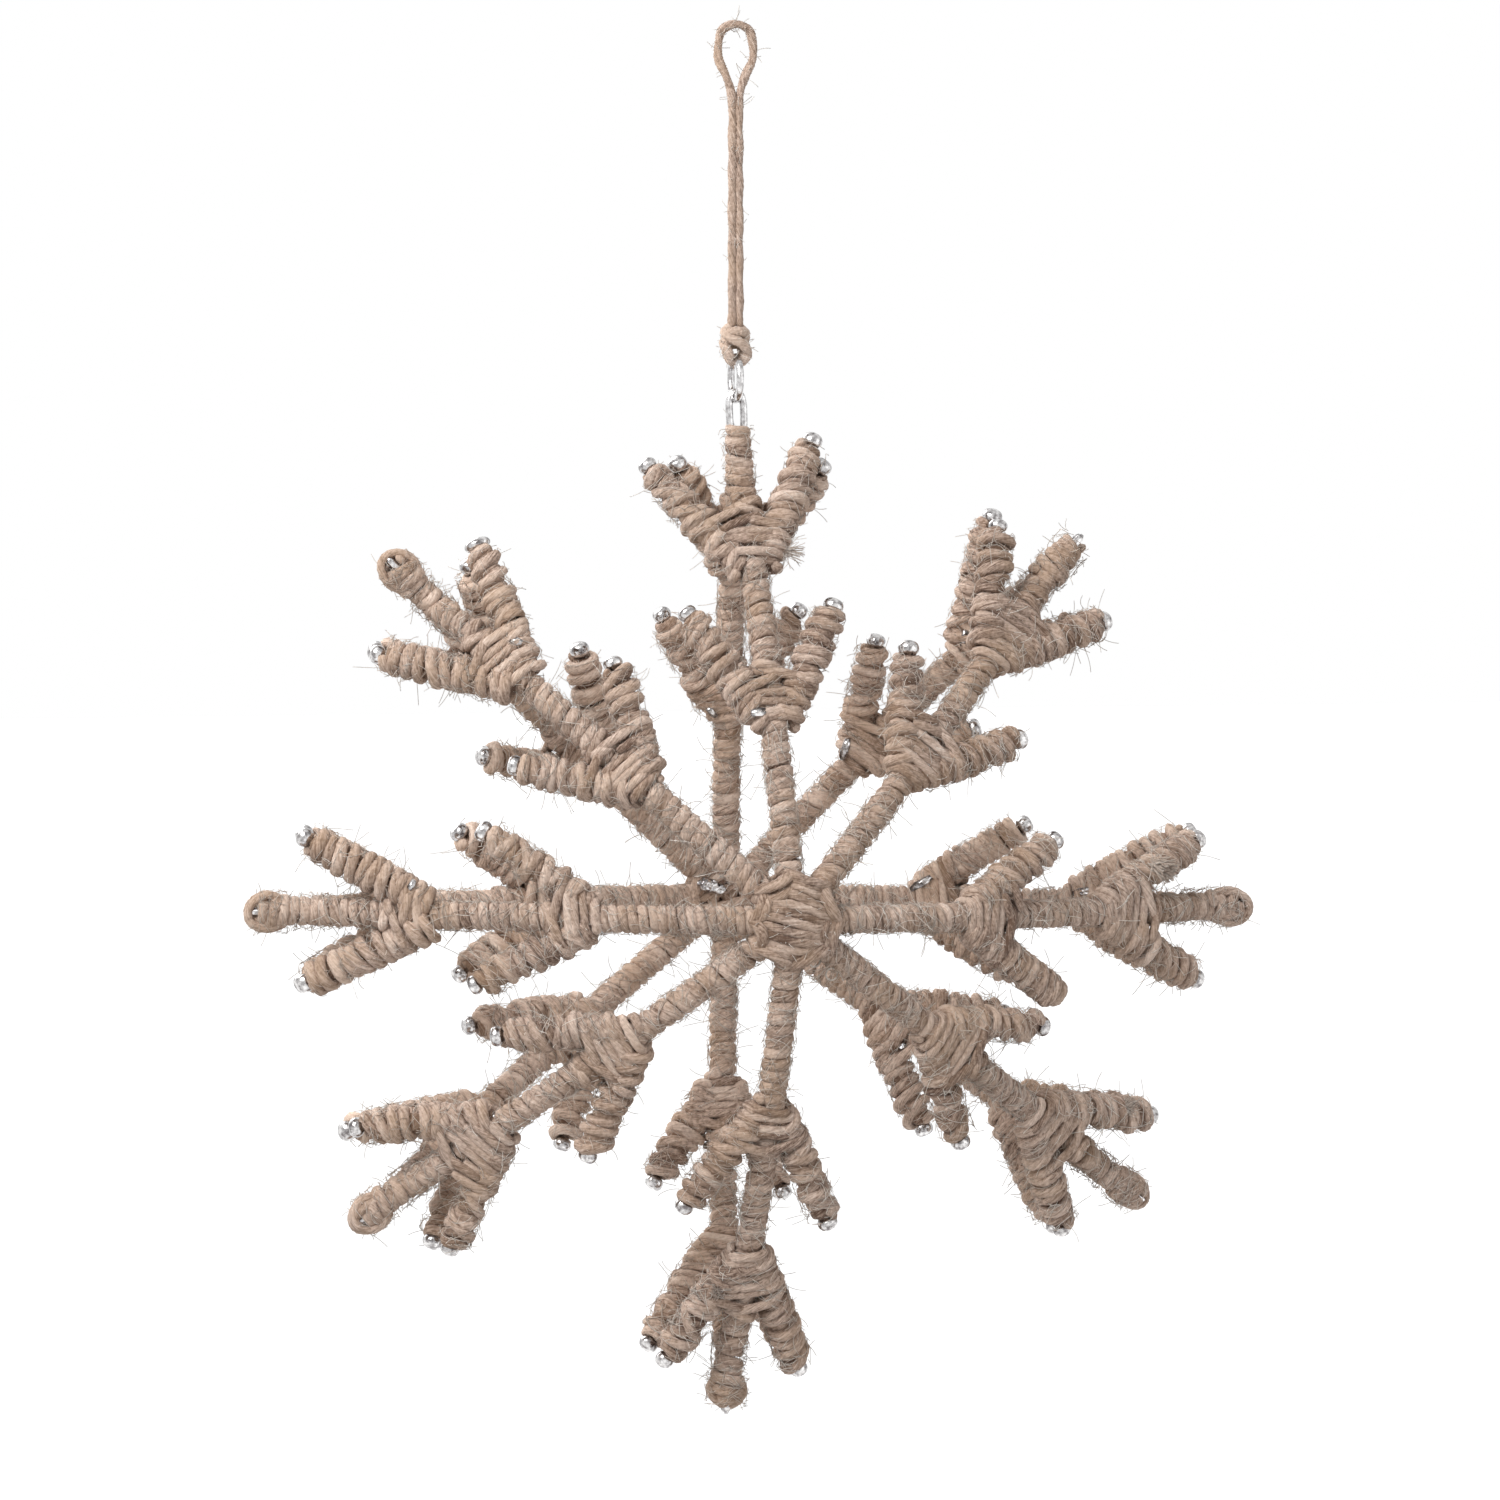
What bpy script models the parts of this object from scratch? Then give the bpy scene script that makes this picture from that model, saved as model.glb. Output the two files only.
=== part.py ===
"""Iron snowflake ornament: two bowed layers of iron rod, wound all over with jute twine.

Each layer has eight arms welded to a hub. An arm is a spoke with two V pairs of
branches, and each branch ends in a ball. The layers meet at the eight tips, where twine
binds them. The north tip holds an eye, a jump ring and a doubled hanger of twine.

Axes: +Z up, +X to the right seen from the front, and the front layer towards -Y. The
origin is the inner top of the hanger's loop, where a hook carries the ornament.
An arm is modelled along +X from the snowflake's middle, then turned about Y.
"""

import math

import bmesh
import bpy
from mathutils import Vector

MM = 0.001

# Arms in counterclockwise order, seen from the front, "e" along +X: how many degrees the
# maker's hand set each off its even place, and how far its rod reaches.
ARMS = {
    "sw": (-8.2, 102.5 * MM),
    "s": (-3.9, 101.6 * MM),
    "se": (7.7, 101.0 * MM),
    "e": (-0.7, 101.8 * MM),
    "ne": (3.2, 99.9 * MM),
    "n": (2.6, 91.0 * MM),
    "nw": (1.8, 103.3 * MM),
    "w": (-0.7, 103.0 * MM),
}
ARM_DIRECTIONS = {
    arm: 360 / len(ARMS) * (k - list(ARMS).index("e")) + ARMS[arm][0]
    for k, arm in enumerate(ARMS)
}
LAYERS = {"front": -1, "back": 1}

# The bow of a layer: half the depth at the hub and at the tips, and how fast it curves.
HUB_DEPTH = 30.0 * MM
TIP_DEPTH = 1.05 * MM
BOW_POWER = 1.45
TIP_STRAIGHT = 9.9 * MM
NORTH_STRAIGHT = 4.5 * MM

# Iron rods, their ball heads and the hub they are welded to.
SPOKE_ROD_RADIUS = 0.9 * MM
BRANCH_ROD_RADIUS = 0.82 * MM
BALL_RADIUS = 1.8 * MM
INNER_V_AT = 35.0 * MM
OUTER_V_AT = 65.0 * MM
HUB_RADIUS = 6.0 * MM
HUB_THICKNESS = 3.2 * MM

# Each arm's branches, inner V and then outer V, counterclockwise side first: the splay from
# the spoke in degrees and the length. They were bent and cut by hand, so they differ.
BRANCHES = {
    ("front", "n"): ((29, 30.5 * MM), (29, 30.5 * MM), (35, 32.5 * MM), (27, 34.0 * MM)),
    ("back", "n"): ((29, 29.0 * MM), (30, 28.5 * MM), (25, 29.5 * MM), (35, 30.0 * MM)),
    ("front", "ne"): ((33, 27.5 * MM), (30, 28.5 * MM), (29, 30.0 * MM), (29, 30.5 * MM)),
    ("back", "ne"): ((31, 28.0 * MM), (28, 27.5 * MM), (30, 32.0 * MM), (30, 30.0 * MM)),
    ("front", "e"): ((33, 27.0 * MM), (35, 27.5 * MM), (27, 30.5 * MM), (28, 31.0 * MM)),
    ("back", "e"): ((32, 29.5 * MM), (32, 29.0 * MM), (29, 31.0 * MM), (29, 31.0 * MM)),
    ("front", "se"): ((32, 27.5 * MM), (30, 27.5 * MM), (28, 31.0 * MM), (29, 30.0 * MM)),
    ("back", "se"): ((31, 28.0 * MM), (30, 28.5 * MM), (28, 31.0 * MM), (29, 30.0 * MM)),
    ("front", "s"): ((29, 30.5 * MM), (31, 28.5 * MM), (26, 32.0 * MM), (26, 31.0 * MM)),
    ("back", "s"): ((27, 27.5 * MM), (31, 27.5 * MM), (28, 31.0 * MM), (32, 30.0 * MM)),
    ("front", "sw"): ((31, 28.5 * MM), (32, 29.0 * MM), (29, 31.0 * MM), (30, 31.5 * MM)),
    ("back", "sw"): ((34, 29.5 * MM), (30, 29.0 * MM), (24, 31.5 * MM), (28, 33.0 * MM)),
    ("front", "w"): ((27, 29.5 * MM), (34, 30.0 * MM), (26, 32.0 * MM), (27, 32.5 * MM)),
    ("back", "w"): ((31, 27.5 * MM), (31, 28.0 * MM), (27, 32.0 * MM), (28, 32.0 * MM)),
    ("front", "nw"): ((29, 28.5 * MM), (30, 28.0 * MM), (28, 32.5 * MM), (26, 32.0 * MM)),
    ("back", "nw"): ((29, 29.0 * MM), (30, 29.5 * MM), (27, 32.0 * MM), (22, 28.0 * MM)),
}

# Twine wound on the rods.
SPOKE_WRAP_RADIUS = 2.8 * MM
BRANCH_WRAP_RADIUS = 3.0 * MM
BRANCH_WRAP_END_RADIUS = 2.75 * MM
BARE_BELOW_BALL = 1.0 * MM
# The two sides of a V start a little apart along the spoke, as one is wound after the other.
WRAP_ROOTS = (0.7 * MM, 0.4 * MM)
BORE_ROOTS = (0.5 * MM, 0.3 * MM)
HUB_WRAP_RADIUS = 8.7 * MM
HUB_WRAP_THICKNESS = 9.4 * MM

# The knobs that bind both layers at a tip: inner turns as a core, and an outer winding.
CORE_HALF_WIDTH = 2.3 * MM
CORE_HALF_DEPTH = 3.05 * MM
CORE_FOOT_HALF_WIDTH = 3.5 * MM
CORE_FOOT_HALF_DEPTH = 5.5 * MM
CORE_BORE_HALF_WIDTH = 1.9 * MM
KNOB_BARE_END = 1.0 * MM
TWINE_RADIUS = 0.85 * MM
KNOB_TURNS = 3
KNOB_PITCH = 2.2 * MM
COLLAR_END = 97.0 * MM
COLLAR_HALF_WIDTH = 3.3 * MM
COLLAR_TOP_RADIUS = 2.9 * MM

# The eye, the ring in it, the knot on the ring and the doubled hanger.
EYE_WIRE_RADIUS = 0.65 * MM
EYE_HALF_WIDTH = 1.75 * MM
EYE_CROWN_AT = 103.3 * MM
RING_WIRE_RADIUS = 0.65 * MM
RING_RADIUS = 4.3 * MM
KNOT_HALF_SIZE = (3.2 * MM, 3.0 * MM, 4.0 * MM)
KNOT_ABOVE_RING = 2.3 * MM
HANGER_TWINE_RADIUS = 0.75 * MM
HANGER_STRAND_LENGTH = 47.0 * MM
HANGER_LOOP_HEIGHT = 13.0 * MM
HANGER_LOOP_HALF_WIDTH = 3.8 * MM
HANGER_STEP = 4.5 * MM

# Clearance between pieces that touch on the real thing.
GAP = 0.3 * MM
# A bore is a four-sided tube drawn round the rod's circle, so it is this much wider.
BORE_SLACK = math.sqrt(2)
BORE_OVERRUN = 4.0 * MM

HUB_SIDES = 14
LOOP_POINTS = 12
OVAL_SIDES = 6

IRON = ("bright_iron", (0.62, 0.61, 0.58, 1.0), 0.95, 0.32)
JUTE = ("jute_twine", (0.55, 0.44, 0.31, 1.0), 0.0, 0.9)


def clear_scene():
    for scene_object in list(bpy.data.objects):
        bpy.data.objects.remove(scene_object, do_unlink=True)


def new_collection(name):
    collection = bpy.data.collections.new(name)
    bpy.context.scene.collection.children.link(collection)
    return collection


def new_material(name, colour, metallic, roughness):
    material = bpy.data.materials.new(name)
    material.use_nodes = True
    shader = material.node_tree.nodes["Principled BSDF"]
    shader.inputs["Base Color"].default_value = colour
    shader.inputs["Metallic"].default_value = metallic
    shader.inputs["Roughness"].default_value = roughness
    return material


clear_scene()
PARTS = new_collection("iron_snowflake_ornament")
CUTTERS = new_collection("cutters")
MATERIALS = {"iron": new_material(*IRON), "jute": new_material(*JUTE)}


def mesh_of(scene_object):
    """The object's evaluated mesh as a new one."""
    bpy.context.view_layer.update()
    graph = bpy.context.evaluated_depsgraph_get()
    return bpy.data.meshes.new_from_object(scene_object.evaluated_get(graph))


def weld(mesh):
    """Joins a tube's loose caps to its wall."""
    shape = bmesh.new()
    shape.from_mesh(mesh)
    bmesh.ops.remove_doubles(shape, verts=shape.verts, dist=0.001 * MM)
    bmesh.ops.recalc_face_normals(shape, faces=shape.faces)
    shape.to_mesh(mesh)
    shape.free()


def tube(name, points, radii, rings=1, cyclic=False):
    """A round tube through points. radii is one radius, or one for each point."""
    if isinstance(radii, float):
        radii = [radii] * len(points)
    curve = bpy.data.curves.new(name, "CURVE")
    curve.dimensions = "3D"
    curve.bevel_depth = 1.0
    curve.bevel_resolution = rings
    curve.use_fill_caps = True
    curve.render_resolution_u = 0
    spline = curve.splines.new("POLY")
    spline.points.add(len(points) - 1)
    for spot, place, radius in zip(spline.points, points, radii):
        spot.co = (*place, 1.0)
        spot.radius = radius
    spline.use_cyclic_u = cyclic
    guide = bpy.data.objects.new(name, curve)
    CUTTERS.objects.link(guide)
    mesh = mesh_of(guide)
    bpy.data.objects.remove(guide, do_unlink=True)
    bpy.data.curves.remove(curve)
    weld(mesh)
    return solid(name, mesh)


def solid(name, mesh):
    made = bpy.data.objects.new(name, mesh)
    made.hide_render = True
    made.display_type = "WIRE"
    CUTTERS.objects.link(made)
    return made


def boolean(base, others, operation):
    """Joins or cuts base with the others, which are used up."""
    for other in others:
        change = base.modifiers.new(other.name, "BOOLEAN")
        change.operation = operation
        change.solver = "EXACT"
        change.object = other
    mesh = mesh_of(base)
    base.modifiers.clear()
    base.data = mesh
    for other in others:
        bpy.data.objects.remove(other, do_unlink=True)
    return base


def finish(piece, name, material, parent):
    """Puts a finished piece among the parts, in its own frame under its parent."""
    CUTTERS.objects.unlink(piece)
    PARTS.objects.link(piece)
    piece.name = name
    piece.data.name = name
    piece.hide_render = False
    piece.display_type = "TEXTURED"
    piece.data.materials.clear()
    piece.data.materials.append(MATERIALS[material])
    piece.data.shade_smooth()
    piece.data.set_sharp_from_angle(angle=math.radians(50))
    if parent:
        piece.parent = parent
        piece.matrix_parent_inverse = parent.matrix_world.inverted()
    return piece


def spoke_end(arm):
    return ARMS[arm][1]


def join_at(arm):
    """How far out the two layers' spokes come together."""
    return spoke_end(arm) - (NORTH_STRAIGHT if arm == "n" else TIP_STRAIGHT)


def wrap_end(arm):
    """How far out the two layers' spoke wraps just clear each other."""
    room = SPOKE_WRAP_RADIUS + GAP
    share = 1 - (room - TIP_DEPTH) / (HUB_DEPTH - TIP_DEPTH)
    return join_at(arm) * share ** (1 / BOW_POWER)


def depth(arm, along):
    """The bowed layer's distance from the mid-plane."""
    share = min(1.0, along / join_at(arm))
    return TIP_DEPTH + (HUB_DEPTH - TIP_DEPTH) * (1 - share**BOW_POWER)


def on_spoke(layer, arm, along):
    return Vector((along, LAYERS[layer] * depth(arm, along), 0.0))


def spoke_direction(layer, arm, along):
    step = 0.5 * MM
    return (on_spoke(layer, arm, along + step) - on_spoke(layer, arm, along - step)).normalized()


def spoke_line(layer, arm, start, end):
    """Points along a spoke from start to end. Its rod, wrap and bores share their bends."""
    bends = (INNER_V_AT, OUTER_V_AT, join_at(arm))
    stations = [start] + [at for at in bends if start < at < end] + [end]
    return [on_spoke(layer, arm, at) for at in stations]


def branches(layer, arm):
    """Each branch as its root on the spoke, its direction and its length to the ball."""
    bent = iter(BRANCHES[layer, arm])
    for root_at in (INNER_V_AT, OUTER_V_AT):
        root = on_spoke(layer, arm, root_at)
        outward = spoke_direction(layer, arm, root_at)
        for turn in (1, -1):
            degrees, length = next(bent)
            splay = math.radians(degrees)
            sideways = Vector((0.0, 0.0, turn))
            yield root, outward * math.cos(splay) + sideways * math.sin(splay), length


def branch_tube(name, branch, shape, rings=1):
    """A turned tube along a branch. shape lists the distance from the root and the radius."""
    root, direction, _ = branch
    points = [root + direction * along for along, _ in shape]
    return tube(name, points, [radius for _, radius in shape], rings)


def branch_rod(branch):
    """A rod from inside the spoke to its ball head."""
    length = branch[2]
    flat = 0.75 * MM
    neck = math.sqrt(BALL_RADIUS**2 - BRANCH_ROD_RADIUS**2)
    shape = (
        (0.2 * MM, 0.85 * BRANCH_ROD_RADIUS),
        (length - neck, BRANCH_ROD_RADIUS),
        (length - flat, BALL_RADIUS),
        (length + flat, BALL_RADIUS),
        (length + neck, 0.9 * BRANCH_ROD_RADIUS),
    )
    return branch_tube("branch", branch, shape)


def iron_arm(layer, arm):
    """A spoke with its four branches welded on."""
    start = HUB_RADIUS + GAP
    spoke = tube("spoke", spoke_line(layer, arm, start, spoke_end(arm)), SPOKE_ROD_RADIUS)
    return boolean(spoke, [branch_rod(branch) for branch in branches(layer, arm)], "UNION")


def branch_sleeve(branch):
    """The winding on one branch, a little thicker at the root than below the ball."""
    start = WRAP_ROOTS[branch[1].z > 0]
    end = branch[2] - BALL_RADIUS - BARE_BELOW_BALL
    shape = ((start, BRANCH_WRAP_RADIUS), (end, BRANCH_WRAP_END_RADIUS))
    return branch_tube("sleeve", branch, shape)


def branch_bore(branch):
    radius = (BRANCH_ROD_RADIUS + GAP) * BORE_SLACK
    start = BORE_ROOTS[branch[1].z > 0]
    return branch_tube("branch_bore", branch, ((start, radius), (branch[2], radius)), rings=0)


def twine_wrap(layer, arm):
    """The twine wound on one iron arm, with bores for its spoke and branches."""
    start = HUB_WRAP_RADIUS + GAP
    end = wrap_end(arm)
    sleeve = tube("wrap", spoke_line(layer, arm, start, end), SPOKE_WRAP_RADIUS)
    for spot in sleeve.data.vertices:
        if spot.co.x > end - SPOKE_WRAP_RADIUS:
            spot.co.x = end
    bore = (SPOKE_ROD_RADIUS + GAP) * BORE_SLACK
    line = spoke_line(layer, arm, start - BORE_OVERRUN, join_at(arm) + BORE_OVERRUN)
    cutters = [tube("spoke_bore", line, bore, rings=0)]
    cutters += [branch_bore(branch) for branch in branches(layer, arm)]
    boolean(sleeve, [branch_sleeve(branch) for branch in branches(layer, arm)], "UNION")
    boolean(cutters[0], cutters[1:], "UNION")
    return boolean(sleeve, cutters[:1], "DIFFERENCE")


def turned(name, profile, steps):
    """A solid turned about Y. profile runs from the front pole to the back one."""
    mesh = bpy.data.meshes.new(name)
    shape = bmesh.new()
    rings = []
    for place, radius in profile[1:-1]:
        ring = []
        for k in range(steps):
            angle = 2 * math.pi * k / steps
            ring.append(shape.verts.new((radius * math.cos(angle), place, radius * math.sin(angle))))
        rings.append(ring)
    for low, high in zip(rings, rings[1:]):
        for k in range(steps):
            m = (k + 1) % steps
            shape.faces.new((low[k], low[m], high[m], high[k]))
    for (place, _), ring in ((profile[0], rings[0]), (profile[-1], rings[-1])):
        pole = shape.verts.new((0.0, place, 0.0))
        for k in range(steps):
            shape.faces.new((pole, ring[k], ring[(k + 1) % steps]))
    bmesh.ops.recalc_face_normals(shape, faces=shape.faces)
    shape.to_mesh(mesh)
    shape.free()
    return solid(name, mesh)


def hub_disc():
    half = HUB_THICKNESS / 2
    chamfer = 0.6 * MM
    profile = (
        (-half, 0.0),
        (-half, HUB_RADIUS - chamfer),
        (-half + chamfer, HUB_RADIUS),
        (half - chamfer, HUB_RADIUS),
        (half, HUB_RADIUS - chamfer),
        (half, 0.0),
    )
    return turned("hub", profile, HUB_SIDES)


def hub_wrap(layer):
    """The ball of twine over a hub, bored for the hub and its eight spokes."""
    half = HUB_WRAP_THICKNESS / 2
    profile = [(-half, 0.0)]
    for deep, wide in ((-0.9, 0.62), (-0.5, 1.0), (0.5, 1.0), (0.9, 0.62)):
        profile.append((half * deep, HUB_WRAP_RADIUS * wide))
    profile.append((half, 0.0))
    wrap = turned("hub_wrap", profile, HUB_SIDES)
    clearance = HUB_THICKNESS / 2 + GAP
    reach = HUB_RADIUS + GAP
    pocket = turned(
        "pocket",
        ((-clearance, 0.0), (-clearance, reach), (clearance, reach), (clearance, 0.0)),
        HUB_SIDES,
    )
    bore = (SPOKE_ROD_RADIUS + GAP) * BORE_SLACK
    cutters = []
    for arm, direction in ARM_DIRECTIONS.items():
        ends = (HUB_RADIUS - 1.0 * MM, HUB_WRAP_RADIUS + 2.0 * MM)
        line = []
        for along in ends:
            place = on_spoke(layer, arm, along)
            place.y -= LAYERS[layer] * HUB_DEPTH
            line.append(turned_to(place, direction))
        cutters.append(tube("spoke_bore", line, bore, rings=0))
    boolean(pocket, cutters, "UNION")
    return boolean(wrap, [pocket], "DIFFERENCE")


def turned_to(place, direction):
    """A point of an arm that lies along +X, turned to the arm's own direction."""
    angle = math.radians(direction)
    return Vector(
        (
            place.x * math.cos(angle) - place.z * math.sin(angle),
            place.y,
            place.x * math.sin(angle) + place.z * math.cos(angle),
        )
    )


def oval_tube(name, stations):
    """A solid along X. A station is its place, half width along Z and half depth along Y."""
    mesh = bpy.data.meshes.new(name)
    shape = bmesh.new()
    rings = []
    for along, width, deep in stations:
        ring = []
        for k in range(OVAL_SIDES):
            angle = 2 * math.pi * (k + 0.5) / OVAL_SIDES
            ring.append(shape.verts.new((along, deep * math.cos(angle), width * math.sin(angle))))
        rings.append(ring)
    for low, high in zip(rings, rings[1:]):
        for k in range(OVAL_SIDES):
            m = (k + 1) % OVAL_SIDES
            shape.faces.new((low[k], low[m], high[m], high[k]))
    shape.faces.new(rings[0])
    shape.faces.new(rings[-1])
    bmesh.ops.recalc_face_normals(shape, faces=shape.faces)
    shape.to_mesh(mesh)
    shape.free()
    return solid(name, mesh)


def least_gap(points, radius, skip):
    """The least gap between stretches of a tube that are more than skip points apart."""
    gap = math.inf
    for k, place in enumerate(points):
        for other in points[k + skip :]:
            gap = min(gap, (place - other).length - 2 * radius)
    return gap


def tip_winding(arm):
    """The outer turns of twine on a tip knob, one helix round the core."""
    first = spoke_end(arm) - KNOB_BARE_END - TWINE_RADIUS - KNOB_TURNS * KNOB_PITCH
    off = TWINE_RADIUS + GAP
    width = (CORE_HALF_WIDTH + off) / math.cos(math.pi / LOOP_POINTS)
    deep = (CORE_HALF_DEPTH + off) / math.cos(math.pi / LOOP_POINTS)
    points = []
    for k in range(KNOB_TURNS * LOOP_POINTS + 1):
        turn = k / LOOP_POINTS
        angle = 2 * math.pi * turn
        along = first + KNOB_PITCH * turn
        points.append(Vector((along, deep * math.cos(angle), width * math.sin(angle))))
    gap = least_gap(points, TWINE_RADIUS, LOOP_POINTS // 2)
    print(f"tip winding {arm}: least gap to itself {gap / MM:.2f} mm")
    return tube("winding", points, TWINE_RADIUS)


def tip_core(arm):
    """The inner turns of a tip knob, from the spoke wraps out, bored for both spokes."""
    start = wrap_end(arm) + GAP
    end = spoke_end(arm) - KNOB_BARE_END
    shoulder = end - 2 * TWINE_RADIUS - KNOB_TURNS * KNOB_PITCH - GAP
    core = oval_tube(
        "core",
        (
            (start, CORE_FOOT_HALF_WIDTH, CORE_FOOT_HALF_DEPTH),
            (shoulder - 0.6 * MM, CORE_FOOT_HALF_WIDTH, 0.85 * CORE_FOOT_HALF_DEPTH),
            (shoulder, CORE_HALF_WIDTH, CORE_HALF_DEPTH),
            (end, CORE_HALF_WIDTH, CORE_HALF_DEPTH),
        ),
    )
    return boolean(core, [pair_bore(arm, start - 3 * MM, end + 3 * MM)], "DIFFERENCE")


def pair_bore(arm, start, end):
    """One oval cutter round both layers' spokes, as the turns go round the pair."""
    flat = math.cos(math.pi / OVAL_SIDES)
    stations = []
    for place in spoke_line("back", arm, start, end):
        deep = (place.y + SPOKE_ROD_RADIUS + GAP) / flat
        stations.append((place.x, CORE_BORE_HALF_WIDTH, deep))
    return oval_tube("pair_bore", stations)


def north_collar():
    """The wrap over the north tip, round both spokes and the eye's shank."""
    start = wrap_end("n") + GAP
    collar = oval_tube(
        "collar",
        (
            (start, COLLAR_HALF_WIDTH, CORE_FOOT_HALF_DEPTH),
            (start + 3.5 * MM, COLLAR_HALF_WIDTH, 0.75 * CORE_FOOT_HALF_DEPTH),
            (spoke_end("n"), 0.95 * COLLAR_HALF_WIDTH, COLLAR_HALF_WIDTH),
            (COLLAR_END - 0.8 * MM, COLLAR_TOP_RADIUS, COLLAR_TOP_RADIUS),
            (COLLAR_END, 0.8 * COLLAR_TOP_RADIUS, 0.8 * COLLAR_TOP_RADIUS),
        ),
    )
    bore = (EYE_WIRE_RADIUS + GAP) * BORE_SLACK
    line = [Vector((spoke_end("n") - MM, 0.0, 0.0)), Vector((COLLAR_END + 2 * MM, 0.0, 0.0))]
    cutters = [
        pair_bore("n", start - 3 * MM, spoke_end("n") + GAP),
        tube("shank_bore", line, bore, rings=0),
    ]
    return boolean(collar, cutters, "DIFFERENCE")


def eye_line():
    """The eye's closed wire, a narrow drop in the plane of the snowflake."""
    points = []
    count = 12
    middle = (EYE_CROWN_AT + EYE_NECK_AT) / 2
    half = (EYE_CROWN_AT - EYE_NECK_AT) / 2
    for k in range(count):
        angle = 2 * math.pi * k / count
        rise = math.cos(angle)
        pinch = 1.0 if rise > 0 else 1 - 0.25 * rise**2
        points.append(Vector((middle + half * rise, 0.0, EYE_HALF_WIDTH * pinch * math.sin(angle))))
    return points


def hanging_eye():
    """The eye with its shank, welded to the ends of the north spokes."""
    loop = tube("eye", eye_line(), EYE_WIRE_RADIUS, cyclic=True)
    ends = (spoke_end("n") + GAP, EYE_NECK_AT)
    line = [Vector((along, 0.0, 0.0)) for along in ends]
    shank = tube("shank", line, 0.95 * EYE_WIRE_RADIUS)
    return boolean(loop, [shank], "UNION")


def circle_points(radius, count):
    """A circle in the YZ plane, from its top."""
    spots = [2 * math.pi * k / count for k in range(count)]
    return [Vector((0.0, radius * math.sin(a), radius * math.cos(a))) for a in spots]


def jump_ring():
    """The ring, with its origin at the middle of its wire where the knot holds it."""
    points = [p - Vector((0.0, 0.0, RING_RADIUS)) for p in circle_points(RING_RADIUS, 16)]
    return tube("ring", points, RING_WIRE_RADIUS, cyclic=True)


def hanger_knot():
    """The knot, with its origin where it holds the ring, bored wide enough for the swing."""
    mesh = bpy.data.meshes.new("knot")
    shape = bmesh.new()
    bmesh.ops.create_uvsphere(shape, u_segments=10, v_segments=6, radius=1.0)
    for spot in shape.verts:
        spot.co = Vector([c * half for c, half in zip(spot.co, KNOT_HALF_SIZE)])
        spot.co.z += KNOT_ABOVE_RING
    flat = KNOT_ABOVE_RING + KNOT_HALF_SIZE[2] * 0.82
    cut = bmesh.ops.bisect_plane(
        shape,
        geom=shape.verts[:] + shape.edges[:] + shape.faces[:],
        plane_co=(0, 0, flat),
        plane_no=(0, 0, 1),
        clear_outer=True,
    )
    rim = [e for e in cut["geom_cut"] if isinstance(e, bmesh.types.BMEdge)]
    bmesh.ops.contextual_create(shape, geom=rim)
    shape.to_mesh(mesh)
    shape.free()
    knot = solid("knot", mesh)
    reach = 3.5 * MM
    steps = 8
    line = []
    radii = []
    for k in range(steps + 1):
        across = reach * (2 * k / steps - 1)
        drop = RING_RADIUS - math.sqrt(RING_RADIUS**2 - across**2)
        line.append(Vector((0.0, across, -drop)))
        radii.append((RING_WIRE_RADIUS + GAP) * BORE_SLACK + 0.75 * drop)
    return boolean(knot, [tube("ring_bore", line, radii)], "DIFFERENCE")


def smooth_line(through, spacing):
    """Points about spacing apart on a smooth curve through the given ones."""
    points = []
    last = len(through) - 1
    for k in range(last):
        before = through[max(k - 1, 0)]
        start = through[k]
        end = through[k + 1]
        after = through[min(k + 2, last)]
        count = max(1, round((end - start).length / spacing))
        for j in range(count):
            t = j / count
            points.append(
                0.5
                * (
                    2 * start
                    + (end - before) * t
                    + (2 * before - 5 * start + 4 * end - after) * t**2
                    + (3 * start - before - 3 * end + after) * t**3
                )
            )
    points.append(through[-1])
    return points


def hanger_line():
    """The hanger's route: up one strand, round the loop and down the other."""
    apart = HANGER_TWINE_RADIUS + GAP / 2
    foot = HANGER_FOOT
    neck = foot + HANGER_STRAND_LENGTH
    top = HANGER_TWINE_RADIUS
    wide = HANGER_LOOP_HALF_WIDTH
    half = (
        (apart, foot),
        (apart, foot + 0.25 * HANGER_STRAND_LENGTH),
        (apart, foot + 0.5 * HANGER_STRAND_LENGTH),
        (apart, foot + 0.75 * HANGER_STRAND_LENGTH),
        (apart, neck - 0.04 * HANGER_STRAND_LENGTH),
        (0.5 * wide, neck + 0.2 * HANGER_LOOP_HEIGHT),
        (0.93 * wide, neck + 0.5 * HANGER_LOOP_HEIGHT),
        (0.82 * wide, top - 0.15 * HANGER_LOOP_HEIGHT),
        (0.45 * wide, top - 0.035 * HANGER_LOOP_HEIGHT),
    )
    up = [Vector((-across, 0.0, height)) for across, height in half]
    down = [Vector((across, 0.0, height)) for across, height in reversed(half)]
    return up + [Vector((0.0, 0.0, top))] + down


def hanger_twine():
    line = smooth_line(hanger_line(), HANGER_STEP)
    return tube("hanger", line, HANGER_TWINE_RADIUS, rings=2)


# The eye's neck rests on the collar, and heights below the origin follow from the loop down.
EYE_NECK_AT = COLLAR_END + GAP + EYE_WIRE_RADIUS
HANGER_FOOT = HANGER_TWINE_RADIUS - HANGER_LOOP_HEIGHT - HANGER_STRAND_LENGTH
KNOT_TOP = HANGER_FOOT - GAP
RING_TOP = KNOT_TOP - KNOT_ABOVE_RING - 0.82 * KNOT_HALF_SIZE[2]
RING_BOTTOM = RING_TOP - 2 * RING_RADIUS
CROWN = RING_BOTTOM + RING_WIRE_RADIUS + EYE_WIRE_RADIUS + GAP
NORTH = math.radians(ARM_DIRECTIONS["n"])
MIDDLE = Vector((-EYE_CROWN_AT * math.cos(NORTH), 0.0, CROWN - EYE_CROWN_AT * math.sin(NORTH)))


def pivot(name, height):
    empty = bpy.data.objects.new(name, None)
    empty.location = (0.0, 0.0, height)
    PARTS.objects.link(empty)
    bpy.context.view_layer.update()
    return empty


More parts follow.
